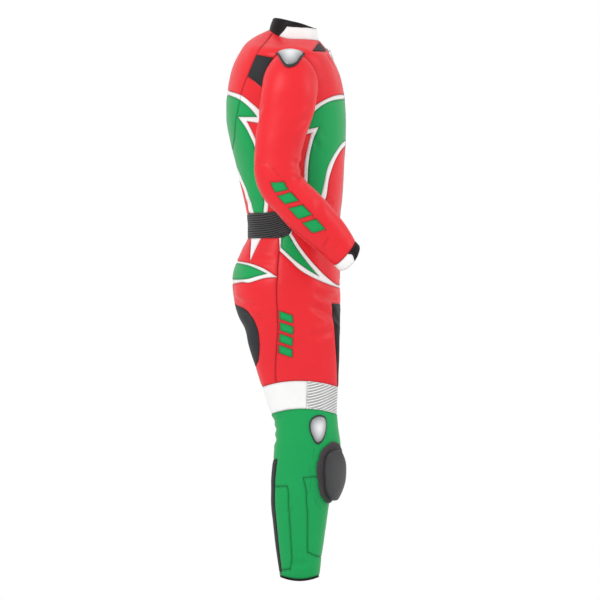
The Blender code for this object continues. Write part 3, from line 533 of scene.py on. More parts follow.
def even_rows(form, levels, first, last):
    """Staggered rows of evenly spaced points from one angle to another."""
    out = []
    for number, level in enumerate(levels):
        a = np.linspace(first, last, 200)
        length = np.concatenate(([0], np.cumsum(step_lengths(form(a, np.full(len(a), level))))))
        count = max(2, round(length[-1] / CELL))
        at = (np.arange(count) + (0.25 if number % 2 else 0.75)) / count * length[-1]
        out.append(np.stack((np.interp(at, length, a), np.full(count, level)), -1))
    return np.vstack(out)


# ------------------------------------------------------------------ how each form is cut

# Blocks are colours with their shapes; ribs are places along ribs, and hems are sewn but not cut.
Plan = namedtuple("Plan", "form outline seams blocks fill ribs hems decorative")


def body_plan():
    """Panels of the right half of the trunk and of the right leg."""
    round_leg = np.arange(-90, 271, 5.0)
    outline = [
        (0, CROTCH_TOP), (-90, CROTCH_TOP), *[(a, hem_edge(a)) for a in round_leg],
        (270, CROTCH_TOP), (180, CROTCH_TOP), *[(a, NECK_LEVEL) for a in range(180, -1, -6)],
    ]
    hole = np.stack(armhole(np.linspace(0, 360, ARMHOLE["points"] + 1)), -1)

    def on_hole(x, z):
        target = body(*seen([(x, z)])[0])
        return hole[np.argmin(np.linalg.norm(body(*hole.T) - target, axis=1))].tolist()

    side = [BELT_EDGES[1][2], *seen([(-37, -595), (-38, -681), (-40, -788), (-43, -863)])]
    arc = bent_line(body, [
        (168, -671),
        *seen([(-122, -682), (-104, -704), (-93, -725), (-87, -750), (-85, -775)]),
        *seen([(-86.5, -800), (-90, -819)]), (180, -833),
    ], LINE_STEP)
    princess = bent_line(body, [
        (144, NECK_LEVEL),
        *seen([(-63, 19), (-76, 4), (-93, -20), (-116, -75), (-131, -117), (-141, -165), (-149, -231)]),
        (167, -261), (180, -269),
    ], LINE_STEP)
    inner = [(a, STRETCH_CROTCH) for a in (*range(-90, 1, 15), 20)]
    inner += [*seen([(103, -667), (110.5, -730), (114, -780), (117, -828)]), (11, knee_edge(0, 11))]
    calf = seen([(-12, -1142), (-9, -1167), (-6, -1234), (0, -1329), (-4, -1357), (-29, -1361)])
    shin = seen([(60, -1117), (29, -1120), (38, -1161), (40, -1204), (40, -1314), (62, -1324)])
    zip_levels = [NECK_LEVEL - 20 * k for k in range(34)] + [ZIP_END]
    seams = [
        hole.tolist(),
        princess.tolist(),
        [*seen([(-93, -20), (-72, -24)]), on_hole(-52, -27)],
        [*seen([(-116, -75), (-96, -90)]), on_hole(-74, -106)],
        [(90, ARMHOLE["level"] - ARMHOLE["half_level"]), (90, -300), (90, BELT_SIDE[1])],
        *BELT_EDGES,
        [(90, BELT_SIDE[1]), (45, -476), (zip_edge(-476), -476)],
        [(zip_edge(v), v) for v in zip_levels] + [(0, ZIP_END)],
        [*side, (side[-1][0], float(knee_edge(0, side[-1][0])))],
        [(180, STRETCH_CROTCH), *arc.tolist(), (270, -833)],
        [(a, STRETCH_CROTCH) for a in (180, 185, 190, 200, 215, 230, 250, 270)],
        inner,
        [(a, knee_edge(0, a)) for a in round_leg],
        [(a, knee_edge(1, a)) for a in round_leg],
        [(edge, knee_edge(which, edge)) for which, edge in enumerate(KNEE_FOLDS_EDGE)],
        [(-60, -1118), *shin, (-20, -1326), (-60, -1322), (-60, -1118)],
        [(152, -1142), *calf, (152, -1361)],
        [(152, -1072), (208, -1072), (208, -1366), (152, -1366), (152, -1072)],
        [(a, hem_edge(a, HEM_BAND)) for a in round_leg],
    ]
    blocks = [(colour, on_body(curved_shape(shape, SIDE_STEP))) for colour, shape in BODY_BLOCKS]
    blocks += [("green", bar) for bar in THIGH_BARS] + [("black", np.array(CHEST_INSERT))]
    trunk = np.arange(NECK_LEVEL - CELL / 2, CROTCH_TOP, -ROW_PITCH)
    legs = np.arange(trunk[-1] - ROW_PITCH, HEM_LEVEL - HEM_DIP, -ROW_PITCH)
    zip_middle = [(zip_edge(v) / 2, v) for v in np.arange(ZIP_END + 4, NECK_LEVEL - 2, 5.0)]
    fill = np.vstack((even_rows(body, trunk, 0, 180), even_rows(body, legs, -90, 270), zip_middle))
    belt_angles = (*np.arange(91.0, WAIST_CLIMB_FROM, 1.2), *np.arange(WAIST_CLIMB_FROM, 180, 1.9))
    ribs = np.vstack((
        rib_fill(waist_rib, belt_angles, -500.0, -420.0),
        rib_fill(knee_rib, np.arange(-88.5, KNEE_FOLDS_EDGE[1], 2.4), -960.0, -860.0),
    ))
    return Plan(body, outline, seams, blocks, fill, ribs, [], SLIDER_ARCS)


def sleeve_plan():
    """Panels of the right sleeve, which is opened out along its rear seam."""
    first, last = SLEEVE_REAR_SEAM - 360, SLEEVE_REAR_SEAM
    around = np.arange(first, last + 1, 6.0)
    top, end = [(a, 0) for a in around], [cuff_place(a, 1) for a in around]
    seams = [
        [cuff_place(a, 0) for a in around],
        [(SLEEVE_FRONT_SEAM, 0), cuff_place(SLEEVE_FRONT_SEAM, 0)],
        bent_line(sleeve, [cuff_place(*spot) for spot in CUFF_TAB_EDGE], LINE_STEP / 2).tolist(),
    ]
    blocks = [("green", bar) for bar in SLEEVE_BARS]
    rings = (0.025, 0.06, *np.arange(0.12, SLEEVE_END_RING + CUFF_BULGE + END_BULGE, 0.15))
    fill = even_rows(sleeve, rings, first, last)
    pad = bent_line(sleeve, ELBOW_PAD, 4.0, closed=True)
    return Plan(sleeve, top + end[::-1], seams, blocks, fill, (), [top, end[:-1]], [pad])


def collar_plan():
    lower = [(a, 0) for a in range(0, 181, 6)]
    upper = [(a, 1 - COLLAR_SWAY * math.sin(math.radians(2 * a))) for a, _ in lower[::-1]]
    fill = even_rows(collar, np.arange(0.06, 1.1, 0.13), 0, 180)
    fill = fill[inside(fill, np.array(lower + upper))]
    return Plan(collar, lower + upper, [COLLAR_PANEL_EDGE], [], fill, (), [lower, upper], [])


# ------------------------------------------------------------------ cutting

MIDDLE = ("back_centre", "waist_accordion", "collar_black", "front_zip")
WELDED = ("lower_leg", "hem_band")
ROW_CLEAR, FILL_CLEAR, RIB_CLEAR, EDGE_CLEAR = 0.82, 0.36, 1.0, 0.8
WELD = 0.25

Cut = namedtuple("Cut", "form places points normals triangles panel colour near")


def islands(count, pairs):
    """The group of each of so many triangles, from pairs of neighbours."""
    group = list(range(count))

    def root(i):
        while group[i] != i:
            group[i] = group[group[i]]
            i = group[i]
        return i

    for a, b in pairs:
        a, b = root(a), root(b)
        if a != b:
            group[a] = b
    return np.array([root(i) for i in range(count)])


def off_ribs(form, spots):
    return spots[~(waist_rib(spots)[1] | knee_rib(spots)[1])] if form is body else spots


def inner_places(plan, lines):
    """Places inside the panels: rows beside every seam, the even fill and the rows along ribs."""
    form = plan.form
    near, rim_near = cloud(form, lines[1:]), cloud(form, lines[:1])
    wanted = [
        (off_ribs(form, shifted(form, line, side * distance)), ROW_CLEAR * distance)
        for line in lines[1:] for distance in ROWS for side in (-1, 1)
    ]
    wanted += [(off_ribs(form, plan.fill), ROWS[-1] + FILL_CLEAR * CELL), (plan.ribs, RIB_CLEAR)]
    chosen = np.vstack([
        spots[near.distance(form(*spots.T)) > clear] for spots, clear in wanted if len(spots)
    ])
    return chosen[rim_near.distance(form(*chosen.T)) > EDGE_CLEAR]


def free_edges(form, places, beside, panel, colour):
    """Ends of the edges where leather ends: all round each piece, but not across the middle of one
    that is whole there."""
    border = []
    for edge, pair in beside.items():
        names = {panel[t] and panel[t] + "/" + colour[t] for t in pair}
        if len(names) == 1 and (len(pair) == 2 or names == {""}):
            continue
        if len(pair) == 1:
            name, ends = panel[pair[0]], places[list(edge)]
            turn = np.round(ends[:, 0], 3)
            middle = np.isin(turn, (0, 180)).all() and (ends[:, 1] > CROTCH_TOP - 1).all()
            if name in MIDDLE and middle and (form is not collar or ends[0, 0] == ends[1, 0]):
                continue
            if name in WELDED and np.isin(turn, (-90, 270)).all():
                continue
        border.append(edge)
    return places[np.array(border)]


def cut_form(plan):
    """Cuts a form along its seams and colour edges. Each triangle gets its panel and colour."""
    form, flat = plan.form, FLAT[plan.form]
    shapes = [plan.outline + plan.outline[:1], *plan.seams, *[shape for _, shape in plan.blocks]]
    lines = [divided(form, line, LINE_STEP) for line in shapes]
    points, edges = [], []
    for line in lines:
        edges += [(len(points) + k, len(points) + k + 1) for k in range(len(line) - 1)]
        points += (line * flat).tolist()
    seam_edges = sum(len(line) - 1 for line in lines[:1 + len(plan.seams)])
    points += (inner_places(plan, lines) * flat).tolist()
    spots, pairs, triangles, _, sources, _ = delaunay_2d_cdt([Vector(p) for p in points], edges, [], 1, WELD)
    places, triangles = np.array([tuple(p) for p in spots]) / flat, np.array(triangles)
    source_of = {tuple(sorted(e)): min(source) for e, source in zip(pairs, sources) if source}
    beside = {}
    for number, (i, j, k) in enumerate(triangles.tolist()):
        for edge in ((i, j), (j, k), (k, i)):
            beside.setdefault((min(edge), max(edge)), []).append(number)
    shared = [(source_of.get(edge, len(edges)), pair) for edge, pair in beside.items() if len(pair) == 2]
    whole = islands(len(triangles), [pair for source, pair in shared if source >= seam_edges])
    part = islands(len(triangles), [pair for source, pair in shared if source >= len(edges)])
    flat_places = places * flat
    centres = flat_places[triangles].mean(1)
    panel = np.full(len(triangles), "", dtype=object)
    for name, made in PANELS.items():
        if made.form is form:
            nearest = np.argmin(np.linalg.norm(centres - np.array(made.seed) * flat, axis=1))
            panel[whole == whole[nearest]] = name
    colour = np.full(len(triangles), "", dtype=object)
    for name, shape in plan.blocks:
        colour[inside(centres / flat, shape)] = name
    a, b, c = (flat_places[triangles[:, k]] for k in range(3))
    area = np.abs((b - a)[:, 0] * (c - a)[:, 1] - (b - a)[:, 1] * (c - a)[:, 0])
    for number in np.unique(part):
        members = part == number
        names = sorted(set(colour[members]))
        if len(names) > 1:
            colour[members] = max(names, key=lambda n: area[members & (colour == n)].sum())
    colour[~np.isin(panel.astype(str), BLOCK_PANELS)] = ""
    steps = np.linspace(0, 1, 5)[:, None]
    ends = free_edges(form, places, beside, panel, colour)
    near = Near(np.vstack([form(*(a + (b - a) * steps).T) for a, b in ends]))
    return Cut(form, places, form(*places.T), outward(form, *places.T), triangles, panel, colour, near)


# ------------------------------------------------------------------ how the leather lies

ELBOW_PAD = [
    (158.1, 7.1), (136, 7.05), (117.7, 7.17), (108.2, 7.39), (92.1, 8.28), (83.9, 9.34), (83.8, 12.06),
    (88.9, 12.96), (94.8, 14.15), (109.8, 14.24), (126, 14.33), (150.5, 14.29),
]
# Outlines of the hard pieces, each after the centre that it is laid out from.
SHOULDER_CUP = [
    (90, 0.85),
    (53, -0.15), (70, -0.06), (90, -0.01), (108, -0.03), (122, 0.0), (115, 0.5), (110, 0.95),
    (101, 1.62), (91, 1.82), (78, 1.62), (68, 0.95), (60, 0.45),
]
KNEE_CUP = [
    (68, -990),
    (64, -960), (54.5, -964.5), (52.6, -979), (56, -997), (61.5, -1014), (67, -1024.5), (72.4, -1028.5),
    (77, -1024.5), (80.6, -1014), (83.8, -999), (83.2, -983), (79.5, -971), (73, -963.5),
]
SLIDER_BASE = [
    (36, -1108),
    (46, -1028), (30, -1030), (20, -1040), (8, -1054), (-2, -1071), (-5, -1100), (-5, -1150),
    (2, -1175), (24, -1186), (46, -1172), (62, -1143), (71, -1097), (66, -1052),
]
SLIDER_PUCK = [
    (36, -1108),
    (50, -1048.5), (38, -1046), (30, -1052), (23, -1064), (13, -1083), (6, -1105), (2, -1131), (3.5, -1155),
    (11, -1172), (24, -1176), (40, -1166), (51.5, -1148), (58.5, -1115), (60.5, -1083), (58, -1060.5),
]

# Height of the leather over the form, by distance to the nearest seam.
SEAM_PROFILE = ([0, 1.2, 3.4, 8, 18], [-1.3, -0.45, 0.1, 0.55, 0.8])
# Soft folds, each a line of places with its depth and width; shallow ridges run beside it.
FOLDS = {
    body: [
        ([(62, -640), (40, -652), (18, -655)], 3.0, 9),
        ([(70, -668), (48, -690), (26, -704), (8, -712)], 2.6, 10),
        ([(30, -735), (52, -748), (74, -752)], 1.8, 9),
        ([(168, -655), (140, -668), (118, -672)], 2.6, 9),
        ([(160, -700), (132, -708), (112, -704)], 1.8, 10),
        ([(205, -968), (180, -972), (150, -968), (122, -958)], 1.7, 8),
        ([(228, -988), (200, -994), (170, -990), (140, -980)], 1.4, 8),
        ([(215, -1016), (185, -1022), (160, -1018)], 1.2, 8),
        ([(250, -1000), (272, -1008)], 1.6, 8),
        ([(95, -1205), (118, -1212), (140, -1206)], 1.6, 10),
        ([(60, -1338), (90, -1345), (120, -1340)], 1.6, 8),
        ([(205, -1320), (240, -1330), (262, -1326)], 1.5, 8),
        ([(102, -560), (124, -552), (150, -556)], 1.6, 9),
        ([(62, -505), (40, -515), (14, -520)], 2.0, 8),
        ([(78, -388), (56, -402), (34, -408)], 2.0, 9),
        ([(66, -425), (42, -436), (12, -442)], 2.4, 8),
        ([(100, -396), (120, -404), (150, -406), (172, -404)], 1.8, 8),
        ([(104, -205), (112, -228), (118, -256)], 1.8, 9),
        ([(76, -208), (68, -236), (60, -262)], 1.8, 9),
        ([(32, 8), (26, -22), (20, -56)], 1.4, 11),
    ],
    sleeve: [
        ([(-40, 7.5), (-12, 7.9), (20, 7.9), (48, 7.5)], 3.4, 7),
        ([(-52, 8.7), (-22, 8.8), (12, 8.75), (46, 8.6)], 3.6, 7),
        ([(-40, 9.8), (-10, 9.7), (24, 9.7), (54, 9.9)], 2.8, 7),
        ([(-62, 6.2), (-32, 6.5), (2, 6.6)], 2.0, 8),
        ([(-90, 8.2), (-120, 8.0), (-150, 7.7)], 1.8, 9),
        ([(-84, 10.2), (-112, 10.5), (-140, 10.8)], 1.8, 9),
        ([(20, 4.1), (46, 4.5), (72, 5.0)], 1.5, 9),
        ([(150, 3.3), (172, 3.9), (188, 4.6)], 1.4, 9),
        ([(-72, 2.0), (-96, 2.3), (-122, 2.2)], 2.4, 8),
        ([(-60, 3.4), (-90, 3.7), (-118, 3.5)], 2.0, 9),
        ([(36, 12.2), (58, 12.6), (76, 13.1)], 1.2, 9),
        ([(40, 15.1), (80, 15.2), (120, 15.3)], 1.1, 7),
        ([(-50, 14.2), (-80, 14.6), (-112, 14.7)], 1.4, 8),
    ],
    collar: [],
}
FOLD_SHARE, FOLD_ENDS = 1.6, 1.7
RIDGE_AWAY, RIDGE_SHARE = 1.9, 0.5  # of a fold's width and depth
RAGGED, RAGGED_TURN, RAGGED_SHIFT = 0.25, 9, 7
UNEVEN, UNEVEN_BROAD, UNEVEN_FINE = 0.9, 55, 23
FOLD_CALM, UNEVEN_CALM, NECK_CALM = 10, 12, 6  # the leather lies calmer this near to a seam
Heights = namedtuple("Heights", "whole face near groove")
# Height across a rib, and how deep in a groove it is there, which sets the painted shade in the groove.
ACROSS_RIB = np.arange(7) / 6
PLAIN_RIB = ([-0.8, -0.1, 0.3, 0.4, 0.3, -0.1, -0.8], [1, 0.12, 0, 0, 0, 0.12, 1])
DOUBLE_RIB = ([-0.25, -0.75, 0.2, 0.4, 0.2, -0.75, -0.25], [0.1, 1, 0, 0, 0, 1, 0.1])
RIB_KINDS = [(waist_rib, 2.2, PLAIN_RIB), (knee_rib, 1.9, DOUBLE_RIB)]
SLIDER_ARCS = [
    [(83.3, -1089), (79, -1120), (76, -1157)], [(77.9, -1042), (80.6, -1071)],
    [(65.6, -1170), (55, -1190), (43.2, -1202)],
]
PAD_LIFT, PAD_SLOPE, PAD_SEAM, PAD_SEAM_WIDTH = 2.2, 6.0, 0.7, 1.6
RIB_EDGE, RIB_FROM, RIB_RUN, RIB_CALM = -1.1, 0.6, 2.2, 0.6  # how the ribs end at a seam
CUP_ROOM, PAD_ROOM = 1.15, 1.08  # share of a hard piece's outline that is pressed flat under it
PRESSED = 0.1


def fold_heights(form, points):
    total = np.zeros(len(points))
    for line, depth, width in FOLDS[form]:
        run = bent_line(form, line, 2.0)
        distance, which = Near(form(*run.T)).find(points)
        share = which / max(1, len(run) - 1)
        fade = np.clip(np.sin(np.pi * np.clip(share, 0, 1)) * FOLD_ENDS, 0, 1)
        ragged = 1 + RAGGED * np.sin(share * RAGGED_TURN + depth * RAGGED_SHIFT)
        trough = np.exp(-(distance / width) ** 2)
        ridge = np.exp(-((distance - RIDGE_AWAY * width) / width) ** 2)
        total += FOLD_SHARE * fade * ragged * depth * (RIDGE_SHARE * ridge - trough)
    return total


def soft_noise(points, size):
    return np.array([noise.noise(Vector(p) / size) for p in points])


def grown(shape, share):
    """An outline without its centre point, made larger about it."""
    centre, edge = np.array(shape[0], float), np.array(shape[1:], float)
    return centre + (edge - centre) * share


def heights(cut):
    """Height of every point over its form, as the part that moves the whole leather and the part
    that moves its outer face alone."""
    form, points = cut.form, cut.points
    near = cut.near.distance(points)
    face = np.interp(near, *SEAM_PROFILE)
    whole = fold_heights(form, points) * np.clip(near / FOLD_CALM, 0.25, 1)
    uneven = soft_noise(points, UNEVEN_BROAD) + 0.5 * soft_noise(points, UNEVEN_FINE)
    whole += UNEVEN * uneven * np.clip(near / UNEVEN_CALM, 0, 1)
    pressed, groove = [], np.zeros(len(points))
    if form is not sleeve:
        level = cut.places[:, 1]
        from_neck = NECK_LEVEL - level if form is body else FLAT[collar][1] * level
        face = np.where(face < 0, face * np.clip(from_neck / NECK_CALM, 0, 1), face)
    if form is sleeve:
        pad = bent_line(sleeve, ELBOW_PAD, 2.0, closed=True)
        away = Near(form(*pad.T)).distance(points) * np.where(inside(cut.places, pad), 1, -1)
        face += PAD_LIFT * smooth_step((away + 1) / PAD_SLOPE)
        face -= PAD_SEAM * np.exp(-(away / PAD_SEAM_WIDTH) ** 2)
        pressed = [grown(SHOULDER_CUP, CUP_ROOM)]
    if form is body:
        pressed = [grown(KNEE_CUP, CUP_ROOM), grown(SLIDER_BASE, PAD_ROOM)]
        for rib_of, height, (profile, depth) in RIB_KINDS:
            number, on_it = rib_of(cut.places)
            wave = height * np.interp(number % 1, ACROSS_RIB, profile)
            edge = np.clip((near - RIB_FROM) / RIB_RUN, 0, 1)
            face = np.where(on_it, RIB_EDGE + (wave - RIB_EDGE) * edge, face)
            # how deep in a groove each point lies, for the painted shade of the grooves
            groove = np.where(on_it, np.interp(number % 1, ACROSS_RIB, depth), groove)
            whole = np.where(on_it, whole * RIB_CALM, whole)
    for shape in pressed:
        under = inside(cut.places, shape)
        face = np.where(under, np.minimum(face, PRESSED), face)
        whole = np.where(under, np.minimum(whole, 0.0), whole)
    return Heights(whole, face, near, groove)


# ------------------------------------------------------------------ meshes

TUCK, TUCK_DEPTH = 2.4, 0.9
SHARPEST_TURN = 0.35
THINNEST = 0.6
SEAM_SHADE = 3.0  # millimetres over which painted shade darkens the leather towards a seam
LEATHER_CORNER, HARD_CORNER, METAL_CORNER = 52, 40, 35  # degrees from which an edge shows


def in_middle(v):
    return abs(v.co.y) < 0.01


def draw_in(bm, distance, keep_middle):
    """Draws the free edge of a piece in along its surface."""
    shift = {}
    for edge in [e for e in bm.edges if e.is_boundary]:
        a, b = edge.verts
        if keep_middle and in_middle(a) and in_middle(b):
            continue
        along = (b.co - a.co).normalized()
        inward = edge.link_faces[0].calc_center_median() - a.co
        inward -= along * inward.dot(along)
        inward.normalize()
        for v in (a, b):
            shift.setdefault(v, []).append(inward)
    for v, directions in shift.items():
        total = sum(directions, Vector())
        if len(directions) == 2:
            total /= max(SHARPEST_TURN, 1 + directions[0].dot(directions[1]))
        if keep_middle and in_middle(v):
            total.y = 0
        v.co += total * distance


def edges_of(verts):
    """The edges at some vertices, each once and always in the same order."""
    return list(dict.fromkeys(e for v in verts for e in v.link_edges))


def face_out(bm):
    bmesh.ops.recalc_face_normals(bm, faces=bm.faces)
    if bm.calc_volume(signed=True) < 0:
        bmesh.ops.reverse_faces(bm, faces=bm.faces)


def mirrored(bm):
    copy = bm.copy()
    bmesh.ops.scale(copy, vec=(1, -1, 1), verts=copy.verts)
    bmesh.ops.reverse_faces(copy, faces=copy.faces)
    return copy


def add_piece(name, mesh, paint, node=None, rider="suit"):
    """Puts a mesh in the scene as a piece that rides on a body and may replace a node."""
    mesh.materials.append(MATERIALS[paint])
    made = bpy.data.objects.new(name, mesh)
    PIECES.objects.link(made)
    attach(made, rider)
    if node:
        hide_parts(node)
    return made


def finish_mesh(name, bm, paint, node, sharp=LEATHER_CORNER, rider="suit"):
    """Turns a bmesh in millimetres into a piece in metres."""
    bmesh.ops.scale(bm, vec=(MM, MM, MM), verts=bm.verts)
    mesh = bpy.data.meshes.new(name)
    bm.to_mesh(mesh)
    bm.free()
    mesh.shade_smooth()
    mesh.set_sharp_from_angle(angle=math.radians(sharp))
    return add_piece(name, mesh, paint, node, rider)


def finish_pair(name, bm, paint, node, sharp=LEATHER_CORNER):
    """A right hand piece and its mirror image, which may replace a pair of nodes."""
    hands = (("left", "_L", mirrored(bm)), ("right", "_R", bm))
    return [
        finish_mesh(f"{name}_{hand}", half, paint, node and node + end, sharp=sharp)
        for hand, end, half in hands
    ]


def tuck_under(cut):
    """Runs the first edge of the sleeve or the collar on under the trunk."""
    first = cut.places[:, 1] < 1e-3
    onward = unit(slopes(cut.form, cut.places[first])[1])
    cut.points[first] -= TUCK * onward + TUCK_DEPTH * cut.normals[first]


def pattern_scale(cut, used):
    """Millimetres for a step round and for a step down, over some points of the cut."""
    both = slopes(cut.form, cut.places[used])
    return np.array([np.median(np.linalg.norm(slope, axis=1)) for slope in both])


def leather_bm(cut, members, raised, middle):
    """The closed shell of one piece of leather, from its triangles of the cut."""
    bm = bmesh.new()
    vectors, numbers = bm.verts.layers.float_vector, bm.verts.layers.float
    out_layer = vectors.new("form_normal")
    depth_layer, seam_shade_layer, inner_layer, groove_shade_layer = (
        numbers.new(name) for name in ("depth", "seam", "inside", "groove")
    )
    cloth_layer, home_layer = vectors.new("cloth"), vectors.new("home")
    used, index = np.unique(cut.triangles[members], return_inverse=True)
    index = index.reshape(-1, 3)
    spots = cut.points[used] + cut.normals[used] * (raised.whole + raised.face)[used, None]
    depth = np.maximum(THINNEST, LEATHER + raised.face[used])
    # painted shade near the seams: 1 on a seam, fading over SEAM_SHADE millimetres
    seam = np.exp(-raised.near[used] / SEAM_SHADE)
    cloth = np.column_stack((cut.places[used] * pattern_scale(cut, used), np.zeros(len(used)))) * MM
    columns = (spots, cut.normals[used], depth, seam, raised.groove[used], cloth)
    verts = []
    for p, n, d, s, g, c in zip(*(column.tolist() for column in columns)):
        v = bm.verts.new(p)
        v[out_layer], v[depth_layer], v[seam_shade_layer], v[groove_shade_layer], v[cloth_layer] = n, d, s, g, c
        v[home_layer] = p
        verts.append(v)
    for i, j, k in index.tolist():
        bm.faces.new((verts[i], verts[j], verts[k]))
    bmesh.ops.remove_doubles(bm, verts=bm.verts, dist=0.05)
    draw_in(bm, SEAM_GAP / 2, middle)
    made = bmesh.ops.extrude_face_region(bm, geom=bm.faces[:], use_keep_orig=True)
    for v in [g for g in made["geom"] if isinstance(g, bmesh.types.BMVert)]:
        v.co = v[home_layer] - v[out_layer] * v[depth_layer]
        v[inner_layer] = 1.0
    face_out(bm)
    return bm


def join_halves(bm):
    for v in bm.verts:
        if in_middle(v):
            v.co.y = 0
    middle = [f for f in bm.faces if all(in_middle(v) for v in f.verts)]
    bmesh.ops.delete(bm, geom=middle, context="FACES_ONLY")
    bmesh.ops.mirror(bm, geom=bm.verts[:] + bm.edges[:] + bm.faces[:], axis="Y", merge_dist=0.02)
    face_out(bm)


# A piece with deep bends fills less of its rectangle than it would laid flat, so the rectangle is
# drawn in until the piece fills this share of it.
LEAST_FILLED, FILLED = 0.31, 0.32
LEAST_WIDTH = 10.0


def flat_size(cut, members):
    """Width, length and area of the smallest rectangle that a piece is cut from, in metres."""
    a, b, c = (cut.points[cut.triangles[members, k]] for k in range(3))
    area = 0.5 * np.linalg.norm(np.cross(b - a, c - a), axis=1).sum()
    used = np.unique(cut.triangles[members])
    flat = cut.places[used] * pattern_scale(cut, used)
    best = None
    for turn in np.radians(np.arange(0, 180, 4)):
        run = flat @ np.array(((math.cos(turn), -math.sin(turn)), (math.sin(turn), math.cos(turn))))
        size = run.max(0) - run.min(0)
        if best is None or size.prod() < best.prod():
            best = size
    wide, long = sorted(best)
    share = area / (wide * long)
    grow = math.sqrt(max(1.0, share) if share > LEAST_FILLED else share / FILLED)
    wide, long = max(LEAST_WIDTH, wide * grow), long * grow
    return math.ceil(wide + 1) * MM, math.ceil(long + 1) * MM, area * MM * MM


# ------------------------------------------------------------------ materials

MATERIALS = {}


class Wire:
    """A shader socket that takes part in arithmetic."""

    def __init__(self, paint, socket):
        self.paint, self.socket = paint, socket

    def math(self, operation, other, swapped=False):
        pair = [other, self] if swapped else [self, other]
        return self.paint.node("ShaderNodeMath", {"operation": operation}, dict(enumerate(pair)))

    def __add__(self, other):
        return self.math("ADD", other)

    __radd__ = __add__

    def __sub__(self, other):
        return self.math("SUBTRACT", other)

    def __rsub__(self, other):
        return self.math("SUBTRACT", other, True)

    def __mul__(self, other):
        return self.math("MULTIPLY", other)

    __rmul__ = __mul__

    def __pow__(self, other):
        return self.math("POWER", other)

    def at_least(self, other):
        return self.math("MAXIMUM", other)

    def clamp(self):
        return self.at_least(0.0).math("MINIMUM", 1.0)

    def sine(self):
        return self.paint.node("ShaderNodeMath", {"operation": "SINE"}, {0: self})


class Paint:
    """One material: its Principled shader and the nodes that feed it."""

    def __init__(self, name, **constants):
        MATERIALS[name] = material = bpy.data.materials.new(name)
        material.use_nodes = True
        self.tree = material.node_tree
        self.shader = self.tree.nodes["Principled BSDF"]
        for key, value in constants.items():
            self.shader.inputs[key.replace("_", " ").title().replace("Ior", "IOR")].default_value = value

    def node(self, kind, settings=None, sockets=None, output=0):
        made = self.tree.nodes.new(kind)
        for key, value in (settings or {}).items():
            setattr(made, key, value)
        for key, value in (sockets or {}).items():
            if isinstance(value, Wire):
                self.tree.links.new(value.socket, made.inputs[key])
            else:
                made.inputs[key].default_value = value
        return Wire(self, made.outputs[output])

    def place(self):
        return self.node("ShaderNodeTexCoord", output=3)

    def attribute(self, name, output=2):
        return self.node("ShaderNodeAttribute", {"attribute_name": name}, output=output)

    def noise(self, place, scale, detail, roughness=0.5):
        return self.node(
            "ShaderNodeTexNoise", None,
            {"Vector": place, "Scale": scale, "Detail": detail, "Roughness": roughness},
        )

    def cells(self, place, scale, feature="F1"):
        return self.node("ShaderNodeTexVoronoi", {"feature": feature}, {"Vector": place, "Scale": scale})

    def streaks(self, place, stretch, *noise_settings):
        """Noise drawn out into streaks across the stretched axes."""
        place = self.node("ShaderNodeMapping", None, {"Vector": place, "Scale": stretch})
        return self.noise(place, *noise_settings)

    def parts(self, vector):
        return [self.node("ShaderNodeSeparateXYZ", None, {0: vector}, k) for k in range(3)]

    def mix(self, factor, first, second):
        first, second = (c if isinstance(c, Wire) else (*c, 1.0) for c in (first, second))
        return self.node("ShaderNodeMix", {"data_type": "RGBA"}, {0: factor, 6: first, 7: second}, 2)

    def toned(self, factor, colour, low, high):
        return self.mix(factor, tinted(colour, low), tinted(colour, high))

    def feed(self, **wires):
        for key, wire in wires.items():
            self.tree.links.new(wire.socket, self.shader.inputs[key.replace("_", " ")])

    def bump(self, height, strength, distance):
        self.feed(Normal=self.node(
            "ShaderNodeBump", None, {"Height": height, "Strength": strength, "Distance": distance}
        ))


def tinted(colour, share):
    return tuple(min(1.0, c * share) for c in colour)


def leather(name, colour, seam_shade_share, roughness=0.44, inner=None, shine=0.22):
    """Grained leather with painted shade that darkens it towards its seams; the bare back shows inside."""
    paint = Paint(name, coat_weight=shine * 0.1, coat_roughness=0.3, specular_ior_level=shine)
    place, seam, flesh = paint.place(), paint.attribute("seam"), paint.attribute("inside")
    broad = paint.noise(place, 9.0, 3.0)
    fine = paint.noise(place, 70.0, 4.0, 0.6)
    shade = paint.toned((broad * 0.7 + fine * 0.3).clamp(), colour, 0.88, 1.07)
    # painted shade: the colour is darkened towards the seams
    shade = paint.mix(((seam - 0.25) * 1.15).clamp() ** 1.5, shade, tinted(colour, seam_shade_share))
    shade = paint.mix(flesh, shade, inner or tuple(0.10 + 0.35 * c for c in colour))
    pores = paint.cells(place, 780.0)
    creases = paint.cells(place, 260.0, "DISTANCE_TO_EDGE")
    paint.feed(Base_Color=shade, Roughness=(roughness - 0.08) + broad * 0.16 + flesh * 0.4)
    paint.bump((creases * 3.0).clamp() * 0.6 + pores * 0.4 + fine * 0.35, 0.32, 0.00035)


def woven(name, colour, light, pitch, diagonal, roughness=0.82, bump=0.5):
    """A fabric with two crossing sets of yarns."""
    paint = Paint(
        name, sheen_weight=0.06, sheen_roughness=0.5, specular_ior_level=0.1, roughness=roughness,
    )
    x, y, _ = paint.parts(paint.attribute("cloth", 1))
    if diagonal:
        x, y = x + y, x - y
    turns = 2 * math.pi / pitch
    yarns = (x * turns).sine().at_least((y * turns).sine()) * 0.5 + 0.5
    tone = paint.noise(paint.place(), 12.0, 3.0)
    shade = paint.mix((yarns.clamp() * (0.55 + tone * 0.7)).clamp(), colour, light)
    # painted shade: the fabric is darkened towards its seams
    shade = paint.mix((paint.attribute("seam") * 0.6).clamp(), shade, tinted(colour, 0.4))
    paint.feed(Base_Color=paint.mix(paint.attribute("inside"), shade, tinted(colour, 0.8)))
    paint.bump(yarns, bump, 0.0004)


